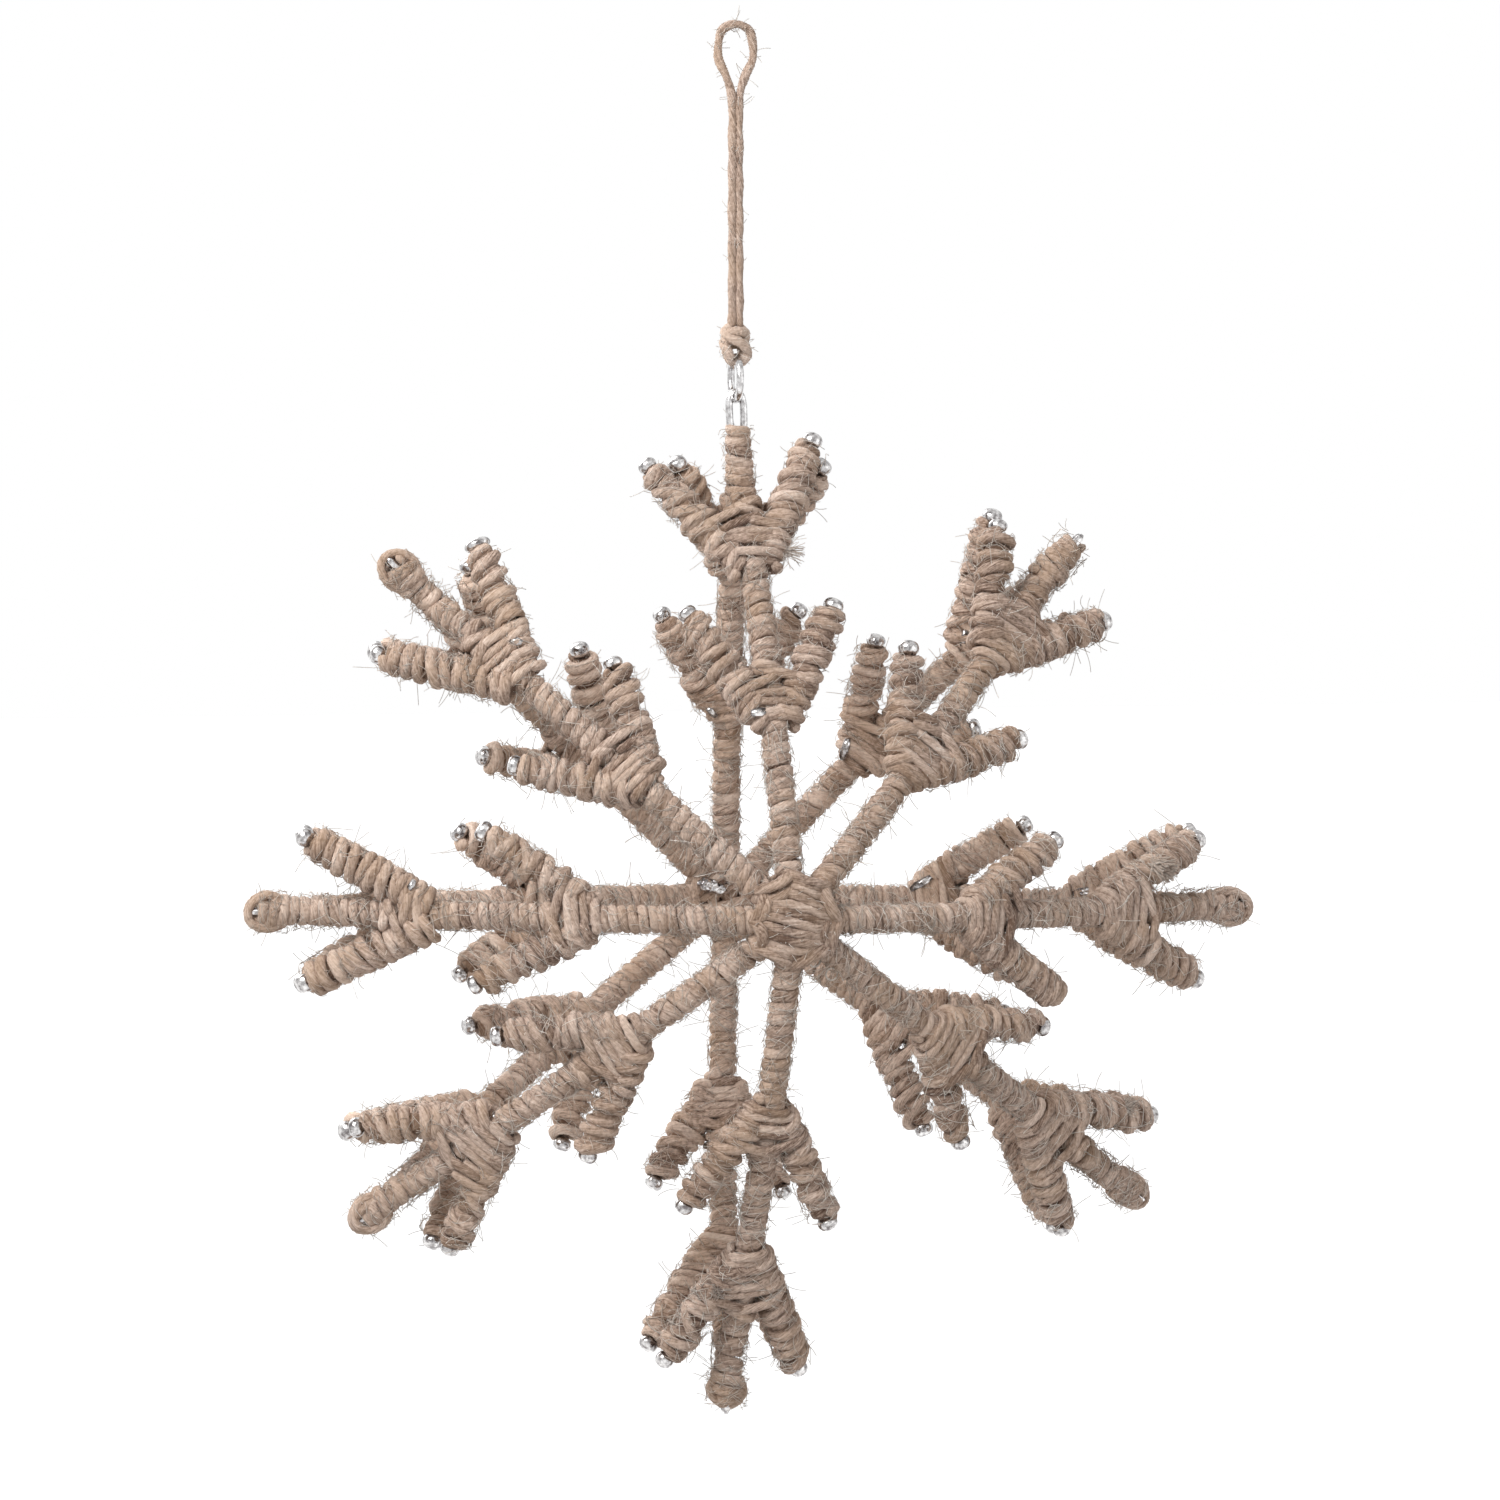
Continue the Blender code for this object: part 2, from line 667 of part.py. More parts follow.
def place_arm_piece(piece, arm):
    piece.location = MIDDLE
    piece.rotation_euler = (0.0, -math.radians(ARM_DIRECTIONS[arm]), 0.0)
    return piece


def build():
    ring_pivot = pivot("ring_swings_in_knot", RING_TOP)
    eye_pivot = pivot("eye_swings_on_ring", CROWN)
    for layer, side in LAYERS.items():
        for arm in ARM_DIRECTIONS:
            rod = place_arm_piece(iron_arm(layer, arm), arm)
            finish(rod, f"{layer}_iron_arm_{arm}", "iron", eye_pivot)
            wrap = place_arm_piece(twine_wrap(layer, arm), arm)
            finish(wrap, f"{layer}_twine_wrap_{arm}", "jute", eye_pivot)
        at_hub = MIDDLE + Vector((0.0, side * HUB_DEPTH, 0.0))
        hub = hub_disc()
        hub.location = at_hub
        finish(hub, f"{layer}_iron_hub", "iron", eye_pivot)
        cover = hub_wrap(layer)
        cover.location = at_hub
        finish(cover, f"{layer}_hub_wrap", "jute", eye_pivot)
    finish(place_arm_piece(north_collar(), "n"), "tip_collar_n", "jute", eye_pivot)
    for arm in ARM_DIRECTIONS:
        if arm != "n":
            core = place_arm_piece(tip_core(arm), arm)
            finish(core, f"tip_core_{arm}", "jute", eye_pivot)
            winding = place_arm_piece(tip_winding(arm), arm)
            finish(winding, f"tip_winding_{arm}", "jute", eye_pivot)
    eye = place_arm_piece(hanging_eye(), "n")
    finish(eye, "hanging_eye", "iron", eye_pivot)
    ring = jump_ring()
    ring.location = (0.0, 0.0, RING_TOP)
    finish(ring, "jump_ring", "iron", ring_pivot)
    knot = hanger_knot()
    knot.location = (0.0, 0.0, RING_TOP)
    finish(knot, "hanger_knot", "jute", None)
    finish(hanger_twine(), "hanger_twine", "jute", None)


build()
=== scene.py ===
"""The looks of the iron snowflake ornament: bright iron rods wound with jute twine.

Every wrap is real twine: strands swept along the turns that a hand winds, with their plies,
fibres and loose fuzz. Lengths are in metres. An arm is made along +X from the middle of the
snowflake, its front towards -Y, and then turned about Y to its own direction.
"""

import math

import bpy
import numpy as np
from mathutils import Matrix, Vector


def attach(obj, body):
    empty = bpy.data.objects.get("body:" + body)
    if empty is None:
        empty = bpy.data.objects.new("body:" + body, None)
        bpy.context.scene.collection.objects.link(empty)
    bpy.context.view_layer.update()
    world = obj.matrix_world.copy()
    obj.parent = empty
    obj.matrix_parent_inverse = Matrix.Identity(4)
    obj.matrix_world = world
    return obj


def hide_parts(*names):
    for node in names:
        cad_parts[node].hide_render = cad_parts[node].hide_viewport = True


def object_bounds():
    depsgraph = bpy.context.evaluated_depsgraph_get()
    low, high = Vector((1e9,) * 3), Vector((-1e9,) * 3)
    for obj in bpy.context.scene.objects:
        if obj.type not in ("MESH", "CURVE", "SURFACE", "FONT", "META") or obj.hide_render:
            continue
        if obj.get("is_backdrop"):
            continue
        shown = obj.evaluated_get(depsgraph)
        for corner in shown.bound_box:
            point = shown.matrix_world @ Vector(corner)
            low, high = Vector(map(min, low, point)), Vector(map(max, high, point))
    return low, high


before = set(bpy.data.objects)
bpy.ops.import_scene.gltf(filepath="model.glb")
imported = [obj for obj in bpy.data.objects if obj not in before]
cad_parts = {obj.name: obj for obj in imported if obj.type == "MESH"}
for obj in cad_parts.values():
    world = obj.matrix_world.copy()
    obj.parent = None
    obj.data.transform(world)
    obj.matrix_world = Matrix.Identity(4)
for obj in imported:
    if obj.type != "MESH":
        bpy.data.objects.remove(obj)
CAD_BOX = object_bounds()

MM = 0.001
TURN = 2 * math.pi

# The solids' own measures. Each arm has its direction in degrees from +X and its rod's reach.
ARMS = {
    "n": (92.6, 91.0 * MM),
    "ne": (48.2, 99.9 * MM),
    "e": (-0.7, 101.8 * MM),
    "se": (-37.3, 101.0 * MM),
    "s": (-93.9, 101.6 * MM),
    "sw": (-143.2, 102.5 * MM),
    "w": (179.3, 103.0 * MM),
    "nw": (136.8, 103.3 * MM),
}
LAYERS = {"front": -1, "back": 1}
HUB_DEPTH = 30.0 * MM
TIP_DEPTH = 1.05 * MM
BOW_POWER = 1.45
TIP_STRAIGHT = 9.9 * MM
NORTH_STRAIGHT = 4.5 * MM
SPOKE_ROD = 0.9 * MM
BRANCH_ROD = 0.82 * MM
V_ROOTS = (35.0 * MM, 65.0 * MM)
HUB_RADIUS = 6.0 * MM
WRAP_CLEARANCE = 3.1 * MM
# How far to each side a line is read to find its direction.
PROBE = 0.5 * MM

# Each arm's branches, inner V and then outer V, counterclockwise side first: the splay from
# the spoke in degrees and the length in mm.
BRANCHES = {
    ("front", "n"): ((29, 30.5), (29, 30.5), (35, 32.5), (27, 34.0)),
    ("back", "n"): ((29, 29.0), (30, 28.5), (25, 29.5), (35, 30.0)),
    ("front", "ne"): ((33, 27.5), (30, 28.5), (29, 30.0), (29, 30.5)),
    ("back", "ne"): ((31, 28.0), (28, 27.5), (30, 32.0), (30, 30.0)),
    ("front", "e"): ((33, 27.0), (35, 27.5), (27, 30.5), (28, 31.0)),
    ("back", "e"): ((32, 29.5), (32, 29.0), (29, 31.0), (29, 31.0)),
    ("front", "se"): ((32, 27.5), (30, 27.5), (28, 31.0), (29, 30.0)),
    ("back", "se"): ((31, 28.0), (30, 28.5), (28, 31.0), (29, 30.0)),
    ("front", "s"): ((29, 30.5), (31, 28.5), (26, 32.0), (26, 31.0)),
    ("back", "s"): ((27, 27.5), (31, 27.5), (28, 31.0), (32, 30.0)),
    ("front", "sw"): ((31, 28.5), (32, 29.0), (29, 31.0), (30, 31.5)),
    ("back", "sw"): ((34, 29.5), (30, 29.0), (24, 31.5), (28, 33.0)),
    ("front", "w"): ((27, 29.5), (34, 30.0), (26, 32.0), (27, 32.5)),
    ("back", "w"): ((31, 27.5), (31, 28.0), (27, 32.0), (28, 32.0)),
    ("front", "nw"): ((29, 28.5), (30, 28.0), (28, 32.5), (26, 32.0)),
    ("back", "nw"): ((29, 29.0), (30, 29.5), (27, 32.0), (22, 28.0)),
}
RING_TOP = -65.13 * MM
RING_RADIUS = 4.3 * MM
RING_WIRE = 0.74 * MM
CROWN = -72.13 * MM
EYE_CROWN_AT = 103.3 * MM
EYE_WIRE = 0.74 * MM
COLLAR_END = 97.0 * MM
KNOT_ABOVE_RING = 2.3 * MM
SEAM_AT = 30
NORTH = math.radians(ARMS["n"][0])
MIDDLE = np.array((-EYE_CROWN_AT * math.cos(NORTH), 0.0, CROWN - EYE_CROWN_AT * math.sin(NORTH)))

# How the twine is drawn.
STRAND_SIDES = 12
HAIR_SIDES = 3
FIGURE_STEPS = 44
TIP_STEPS = 34
TWIST_LENGTH = 15.0 * MM
BAND_PITCH = 1.6 * MM
TIP_PITCH = 2.05 * MM
WRAP_START = 6.8 * MM
HAIR_RADIUS = 0.07 * MM
BRUSH_RADIUS = 0.11 * MM
CURL_RADIUS = 0.2 * MM
ROUGHNESS = 0.06
# The core's tone is darker than the rest: painted shade between the outer turns.
CORE_PAINTED_SHADE = -0.14
# How a strand thins over the last points at each of its ends.
ENDS = (0.55, 0.85, 0.97)
# The share of the map's height that the strands' ends take.
CAP_ROW = 0.02

# How far the windings lie from the middle of what they are wound on.
SPOKE_CORE = 1.9 * MM
SPOKE_TURNS = 2.05 * MM
BRANCH_CORE = 2.05 * MM
HOOD_BESIDE = 2.6 * MM
HOOD_OUT = 2.72 * MM
HOOD_BULGE = 3.3 * MM
FORK_BESIDE = 2.75 * MM
FORK_OUT = 3.3 * MM
HUB_TURNS = 7.6 * MM


def material_with_nodes(name):
    material = bpy.data.materials.new(name)
    material.use_nodes = True
    tree = material.node_tree
    return material, tree, tree.nodes["Principled BSDF"]


def link(tree, output, socket):
    tree.links.new(output, socket)


def new_node(tree, kind):
    return tree.nodes.new(f"ShaderNode{kind}")


def fill(node, values):
    """Sets a node's own inputs by their names."""
    for name, value in values.items():
        node.inputs[name].default_value = value


def noise_node(tree, vector, scale, detail=3.0, roughness=0.55, distortion=0.0):
    noise = new_node(tree, "TexNoise")
    values = {"Scale": scale, "Detail": detail, "Roughness": roughness, "Distortion": distortion}
    fill(noise, values)
    link(tree, vector, noise.inputs["Vector"])
    return noise.outputs["Fac"]


def ramp_node(tree, factor, stops):
    ramp = new_node(tree, "ValToRGB")
    spots = ramp.color_ramp.elements
    while len(spots) < len(stops):
        spots.new(0.5)
    for spot, (place, colour) in zip(spots, stops):
        spot.position = place
        spot.color = (*colour, 1.0)
    link(tree, factor, ramp.inputs["Fac"])
    return ramp.outputs["Color"]


def math_node(tree, operation, first, second):
    node = new_node(tree, "Math")
    node.operation = operation
    for socket, value in zip(node.inputs, (first, second)):
        if isinstance(value, (int, float)):
            socket.default_value = value
        else:
            link(tree, value, socket)
    return node.outputs[0]


def sum_node(tree, *terms):
    """Adds up outputs, each times its weight."""
    total = None
    for output, weight in terms:
        part = math_node(tree, "MULTIPLY", output, weight)
        total = part if total is None else math_node(tree, "ADD", total, part)
    return total


def patched(tree, factor, colour, patch):
    """The colour, with as much of the patch's one as the factor says."""
    node = new_node(tree, "Mix")
    node.data_type = "RGBA"
    node.clamp_result = True
    link(tree, factor, node.inputs["Factor"])
    link(tree, colour, node.inputs["A"])
    node.inputs["B"].default_value = (*patch, 1.0)
    return node.outputs["Result"]


def attribute_node(tree, name):
    node = new_node(tree, "Attribute")
    node.attribute_name = name
    return node.outputs


def bump_node(tree, shader, height, strength, distance):
    bump = new_node(tree, "Bump")
    fill(bump, {"Strength": strength, "Distance": distance})
    link(tree, height, bump.inputs["Height"])
    link(tree, bump.outputs["Normal"], shader.inputs["Normal"])


def scaled_vector(tree, vector, across, along):
    """The strand's own coordinates, stretched across it and along it."""
    node = new_node(tree, "VectorMath")
    node.operation = "MULTIPLY"
    node.inputs[1].default_value = (across, across, along)
    link(tree, vector, node.inputs[0])
    return node.outputs["Vector"]


def from_srgb(*values):
    """A colour written as it looks, from 0 to 255, as the shader's linear one."""
    shares = [value / 255 for value in values]
    return tuple(s / 12.92 if s <= 0.04045 else ((s + 0.055) / 1.055) ** 2.4 for s in shares)


def jute_material(name, *colours):
    """Jute: fibres run along the strand with its twist, over slow changes of tone."""
    fuzz, pale, middle, dark, patch = (from_srgb(*colour) for colour in colours)
    material, tree, shader = material_with_nodes(name)
    strand = attribute_node(tree, "strand")["Vector"]
    # The tone attribute carries the twine's own changes of tone, and also the painted shade and
    # painted light that some strands are given.
    tone = attribute_node(tree, "tone")["Fac"]
    place = new_node(tree, "TexCoord").outputs["Object"]
    fibres = noise_node(tree, scaled_vector(tree, strand, 6.0, 300.0), 1.0, 3.0, 0.6, 0.6)
    fine = noise_node(tree, scaled_vector(tree, strand, 17.0, 700.0), 1.0, 3.0, 0.65, 0.4)
    knots = noise_node(tree, place, 1500.0)
    slow = noise_node(tree, place, 90.0, 2.0)
    grain = sum_node(tree, (fibres, 0.62), (fine, 0.38))
    grain = sum_node(tree, (grain, 0.72), (knots, 0.28), (tone, 1.0))
    colour = ramp_node(tree, grain, ((0.365, dark), (0.50, middle), (0.64, pale), (0.95, fuzz)))
    warm = ramp_node(tree, slow, ((0.42, (0.0, 0.0, 0.0)), (0.66, (1.0, 1.0, 1.0))))
    colour = patched(tree, math_node(tree, "MULTIPLY", warm, 0.35), colour, patch)
    link(tree, colour, shader.inputs["Base Color"])
    rough = math_node(tree, "ADD", math_node(tree, "MULTIPLY", fibres, 0.25), 0.72)
    link(tree, rough, shader.inputs["Roughness"])
    fill(shader, {"Specular IOR Level": 0.22, "Sheen Weight": 0.12, "Sheen Roughness": 0.5})
    height = sum_node(tree, (fibres, 0.9), (knots, 0.35), (fine, 0.6))
    bump_node(tree, shader, height, 0.9, 0.3 * MM)
    return material


def iron_material(name, bright, dull_and_dark_reflection, smoothest, roughest, dented):
    """Bright iron, a little uneven from the hammer, with darker patches: partly the iron's own duller
    spots, partly painted dark reflection.
    """
    material, tree, shader = material_with_nodes(name)
    place = new_node(tree, "TexCoord").outputs["Object"]
    dull_and_reflection_patches = noise_node(tree, place, 900.0, 4.0, 0.6)
    dents = noise_node(tree, place, 520.0, 2.0)
    fill(shader, {"Metallic": 1.0})
    # Darker where the patches are: the iron's duller spots, and painted dark reflection too.
    colour = ramp_node(tree, dull_and_reflection_patches, ((0.36, from_srgb(*dull_and_dark_reflection)), (0.62, from_srgb(*bright))))
    link(tree, colour, shader.inputs["Base Color"])
    spread = math_node(tree, "MULTIPLY", dull_and_reflection_patches, roughest - smoothest)
    link(tree, math_node(tree, "ADD", spread, smoothest), shader.inputs["Roughness"])
    bump_node(tree, shader, dents, dented, 0.25 * MM)
    return material


# Each layer's jute: its fuzz, its pale, middle and dark tones, and its warm patches. The back
# layer's tones are painted paler than the front's: painted light against the shade it lies in.
# Loose fibres are paler than the twine, and the fuzz colour is lifted near white besides: painted
# light, so that thin fibres show lit.
FUZZ_AND_PAINTED_LIGHT = (254, 246, 236)
FRONT_TONES = ((228, 207, 192), (184, 160, 144), (102, 79, 65), (181, 151, 122))
BACK_TONES_PAINTED_LIT = ((240, 220, 204), (205, 180, 163), (116, 91, 75), (198, 165, 134))
JUTE = {
    "front": jute_material("jute_front", FUZZ_AND_PAINTED_LIGHT, *FRONT_TONES),
    "back": jute_material("jute_back_painted_lit", FUZZ_AND_PAINTED_LIGHT, *BACK_TONES_PAINTED_LIT),
}
IRON = iron_material("bright_iron", (222, 220, 219), (116, 111, 111), 0.10, 0.30, 0.6)
WIRE = iron_material("bright_wire", (222, 221, 221), (158, 155, 155), 0.10, 0.26, 0.25)


def wander(rng, x, wavelength, amount):
    """A value that wanders smoothly along x, about as far as amount each way."""
    total = np.zeros_like(x, dtype=float)
    for _ in range(4):
        length = wavelength * rng.uniform(0.6, 1.8)
        total += np.sin(TURN * (x / length + rng.uniform()))
    return amount * total / 2.4


def joined(*parts):
    """Arrays side by side on a new last axis."""
    return np.stack(parts, axis=-1)


def unit(vectors):
    lengths = np.linalg.norm(vectors, axis=-1, keepdims=True)
    return vectors / np.maximum(lengths, 1e-12)


def tangents_of(points):
    return unit(np.gradient(points, axis=0))


def level_outs(points, start=(0.0, -1.0, 0.0)):
    """A direction across the line at each point that turns no more than it must."""
    tangents = tangents_of(points)
    outs = np.empty_like(points)
    out = np.array(start)
    for k, tangent in enumerate(tangents):
        out = out - tangent * out.dot(tangent)
        if np.linalg.norm(out) < 1e-6:
            out = np.array((tangent[1], tangent[2], tangent[0]))
            out = out - tangent * out.dot(tangent)
        out = out / np.linalg.norm(out)
        outs[k] = out
    return outs


def rings_round(points, tangents, outs, wide, thick, angles):
    """An oval ring round each point, wide across the line and thick along outs."""
    outs = unit(outs - tangents * np.sum(outs * tangents, axis=1, keepdims=True))
    across = np.cross(tangents, outs)
    return points[:, None, :] + (
        (wide * np.cos(angles))[:, :, None] * across[:, None, :]
        + (thick * np.sin(angles))[:, :, None] * outs[:, None, :]
    )


def tube_faces(base, rings, sides, closed=False):
    """The corners and the sizes of a tube's faces: quads between its rings, and two ends."""
    count = rings if closed else rings - 1
    ring = np.arange(count)[:, None]
    side = np.arange(sides)[None, :]
    after = (side + 1) % sides
    near = base + ring * sides
    far = base + (ring + 1) % rings * sides
    corners = [joined(near + side, far + side, far + after, near + after).ravel()]
    sizes = [np.full(count * sides, 4)]
    if not closed:
        corners += [base + side[0], base + (rings - 1) * sides + side[0, ::-1]]
        sizes.append(np.full(2, sides))
    return corners, sizes


class Weave:
    """Gathers strands into one closed-faced mesh, with a map for them."""

    def __init__(self):
        self.strands = []
        self.rng = np.random.default_rng(5)

    def add(self, points, outs, wide, thick, tone, sides=STRAND_SIDES, ply=0.03, ends=ENDS):
        """A strand. wide is its half width along the wound rod and thick its half height."""
        count = len(points)
        steps = np.linalg.norm(np.diff(points, axis=0), axis=1)
        along = np.concatenate(((0.0,), np.cumsum(steps)))[:, None]
        taper = np.ones(count)
        for k, share in enumerate(ends):
            if 2 * k + 1 < count:
                taper[k] = taper[-1 - k] = share
        angles = TURN * np.arange(sides) / sides
        turned = angles[None, :] - TURN * along / TWIST_LENGTH
        lobes = 1 + ply * np.cos(2 * turned)
        if sides > HAIR_SIDES:
            lobes += self.rng.normal(0.0, ROUGHNESS, lobes.shape)
        wide, thick = ((half * taper)[:, None] * lobes for half in (wide, thick))
        spots = rings_round(points, tangents_of(points), outs, wide, thick, angles)
        along = np.broadcast_to(along + 0.37 * len(self.strands) * MM, turned.shape)
        strand = joined(np.cos(turned) * 0.5, np.sin(turned) * 0.5, along)
        tones = np.broadcast_to(np.asarray(tone, float).reshape(-1, 1), (count, sides))
        self.strands.append((spots, strand, tones))

    def mesh(self, name, direction=None):
        """One mesh of all strands, each quad with its own square in the map."""
        quads = {}
        for spots, _, _ in self.strands:
            sides = spots.shape[1]
            quads[sides] = quads.get(sides, 0) + (spots.shape[0] - 1) * sides
        total = sum(quads.values())
        columns = max(1, int(math.sqrt(total)))
        starts = {}
        heights = {}
        floor = CAP_ROW
        for sides, number in sorted(quads.items()):
            rows = math.ceil(number / sides / columns)
            share = (1 - CAP_ROW) * number / total
            starts[sides] = floor
            heights[sides] = share / (rows * sides)
            floor += share
        used = dict.fromkeys(quads, 0)
        corners, loop_uv, sizes, base = [], [], [], 0
        for spots, _, _ in self.strands:
            rings, sides = spots.shape[:2]
            faces, counts = tube_faces(base, rings, sides)
            corners += faces
            sizes += counts
            base += rings * sides
            side = np.arange(sides)
            number = used[sides] + np.arange(rings - 1)[:, None]
            used[sides] += rings - 1
            left = (number % columns) / columns + 0 * side
            low = starts[sides] + ((number // columns) * sides + side) * heights[sides]
            right = left + 1 / columns
            high = low + heights[sides]
            square = joined(left, low, right, low, right, high, left, high)
            spread = TURN * side / sides
            disc = joined(0.5 + 0.45 * np.cos(spread), (0.5 + 0.45 * np.sin(spread)) * CAP_ROW)
            loop_uv += [square.ravel(), disc.ravel(), disc[::-1].ravel()]
        spots = np.concatenate([spots.reshape(-1, 3) for spots, _, _ in self.strands])
        return make_mesh(
            name,
            spots if direction is None else turned_to(spots, direction),
            corners,
            sizes,
            np.concatenate(loop_uv),
            np.concatenate([strand.reshape(-1, 3) for _, strand, _ in self.strands]),
            np.concatenate([tones.ravel() for _, _, tones in self.strands]),
        )


def make_mesh(name, spots, corners, sizes, loop_uv=None, strand=None, tones=None):
    corners, sizes = np.concatenate(corners), np.concatenate(sizes)
    mesh = bpy.data.meshes.new(name)
    mesh.vertices.add(len(spots))
    mesh.vertices.foreach_set("co", spots.astype(np.float32).ravel())
    mesh.loops.add(len(corners))
    mesh.loops.foreach_set("vertex_index", corners.astype(np.int32))
    mesh.polygons.add(len(sizes))
    starts = np.concatenate(((0,), np.cumsum(sizes)[:-1]))
    mesh.polygons.foreach_set("loop_start", starts.astype(np.int32))
    if loop_uv is not None:
        layer = mesh.uv_layers.new(name="OFBake")
        layer.uv.foreach_set("vector", loop_uv.astype(np.float32))
        along = mesh.attributes.new("strand", "FLOAT_VECTOR", "POINT")
        along.data.foreach_set("vector", strand.astype(np.float32).ravel())
        tone = mesh.attributes.new("tone", "FLOAT", "POINT")
        tone.data.foreach_set("value", tones.astype(np.float32))
    mesh.update(calc_edges=True)
    mesh.shade_smooth()
    return mesh


def turned_to(points, direction):
    """Points of an arm that lies along +X, turned to its own direction and set in place."""
    cosine, sine = math.cos(math.radians(direction)), math.sin(math.radians(direction))
    x, y, z = points[..., 0], points[..., 1], points[..., 2]
    return joined(x * cosine - z * sine, y, x * sine + z * cosine) + MIDDLE


def new_object(name, data):
    thing = bpy.data.objects.new(name, data)
    bpy.context.scene.collection.objects.link(thing)
    return thing


def show(name, gathered, material, body, slot, *nodes, arm=None):
    """Puts a finished piece on its body in place of the solids that it stands for."""
    mesh = gathered.mesh(name, ARMS[arm][0] if arm else None)
    mesh.materials.append(material)
    piece = new_object(name, mesh)
    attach(piece, body)
    if nodes:
        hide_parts(*nodes)
    return piece


def join_at(arm):
    return ARMS[arm][1] - (NORTH_STRAIGHT if arm == "n" else TIP_STRAIGHT)


def wrap_end(arm):
    """How far out the two layers' spoke wraps just clear each other."""
    share = 1 - (WRAP_CLEARANCE - TIP_DEPTH) / (HUB_DEPTH - TIP_DEPTH)
    return join_at(arm) * share ** (1 / BOW_POWER)


def depth(arm, along):
    share = np.minimum(1.0, np.maximum(along, 0.0) / join_at(arm))
    return TIP_DEPTH + (HUB_DEPTH - TIP_DEPTH) * (1 - share**BOW_POWER)


class Rod:
    """A line to wind on: an arm's spoke, a branch from its root, or a tip, in no layer."""

    def __init__(self, layer, arm, root=None, direction=None):
        self.arm = arm
        self.side = LAYERS.get(layer, 0.0)
        self.root = root
        self.direction = direction

    def on_spoke(self, along):
        return joined(along, self.side * depth(self.arm, along), np.zeros_like(along))

    def at(self, along):
        """Places on the line, and the two directions across it there."""
        along = np.asarray(along, float)
        up = np.array((0.0, 0.0, 1.0))
        if self.root is None:
            places = self.on_spoke(along)
            tangents = unit(self.on_spoke(along + PROBE) - self.on_spoke(along - PROBE))
            beside = np.broadcast_to(up, places.shape)
        else:
            places = self.root + along[..., None] * self.direction
            tangents = np.broadcast_to(self.direction, places.shape)
            beside = unit(up - tangents * np.sum(up * tangents, axis=-1, keepdims=True))
        return places, beside, np.cross(tangents, beside)

    def round(self, along, angle, by):
        """Places round the line at that angle and distance, with the way out at each."""
        places, beside, level = self.at(along)
        outs = np.cos(angle)[:, None] * beside + np.sin(angle)[:, None] * level
        return places + by[:, None] * outs, outs

    def off(self, along, beside_by, level_by):
        """Places beside the line and over it, with the two directions across it."""
        places, beside, level = self.at(along)
        return places + beside_by[:, None] * beside + level_by[:, None] * level, beside, level


def branches(layer, arm):
    """Each branch as its V's place on the spoke, its rod, its length and its splay."""
    spoke = Rod(layer, arm)
    bent = iter(BRANCHES[layer, arm])
    for root_at in V_ROOTS:
        inner, root, outer = spoke.at((root_at - PROBE, root_at, root_at + PROBE))[0]
        outward = unit(outer - inner)
        for turn in (1, -1):
            degrees, length = next(bent)
            splay = math.radians(degrees)
            direction = outward * math.cos(splay) + np.array((0.0, 0.0, turn)) * math.sin(splay)
            yield root_at, Rod(layer, arm, root, direction), length * MM, turn * splay


def coil(rng, turns, steps, hand=1):
    """How many turns are wound at each point of a winding, and the angle there."""
    u = np.linspace(0.0, turns, max(8, int(turns * steps)))
    return u, hand * TURN * u + rng.uniform(0, TURN)


def wind(weave, rng, rod, start, end, pitch, radius, wide, thick, tone, rough=1.0, hand=1, steps=26):
    """Winds a strand on a rod from start to end, unevenly as a hand does.

    radius is the one of the strand's middle: a number, or a function of the share of the way.
    steps is the number of points in a turn.
    """
    turns = (end - start) / pitch
    u, angle = coil(rng, turns, steps, hand)
    along = start + pitch * (u + wander(rng, u, 2.6, 0.13 * rough))
    lean = wander(rng, u, 5.0, 0.20 * rough * pitch)
    along = np.clip(along + lean * np.cos(angle + wander(rng, u, 7.0, 1.2)), start, end)
    base = radius(u / turns) if callable(radius) else np.full(len(u), radius)
    out_by = base + wander(rng, u, 1.3, 0.07 * rough * MM) + wander(rng, u, 4.0, 0.08 * rough * MM)
    points, outs = rod.round(along, angle, out_by)
    swell = 1 + wander(rng, u, 1.7, 0.07 * rough)
    weave.add(points, outs, wide * swell, thick * swell, tone + wander(rng, u, 3.0, 0.045))


def core(weave, rod, start, end, radius):
    """The first turns, which show only as a floor between the outer ones, drawn darker: painted shade
    in the gaps.
    """
    along = np.linspace(start, end, max(4, int((end - start) / (3 * MM))))
    places, _, level = rod.at(along)
    weave.add(places, level, radius, radius, CORE_PAINTED_SHADE, sides=16, ply=0.0, ends=(0.85,))


def box_round(angle, power):
    """A turn's cosine and sine, squared off as twine lies over two rods side by side."""
    cosine, sine = np.cos(angle), np.sin(angle)
    share = 2 / power
    return np.sign(cosine) * np.abs(cosine) ** share, np.sign(sine) * np.abs(sine) ** share


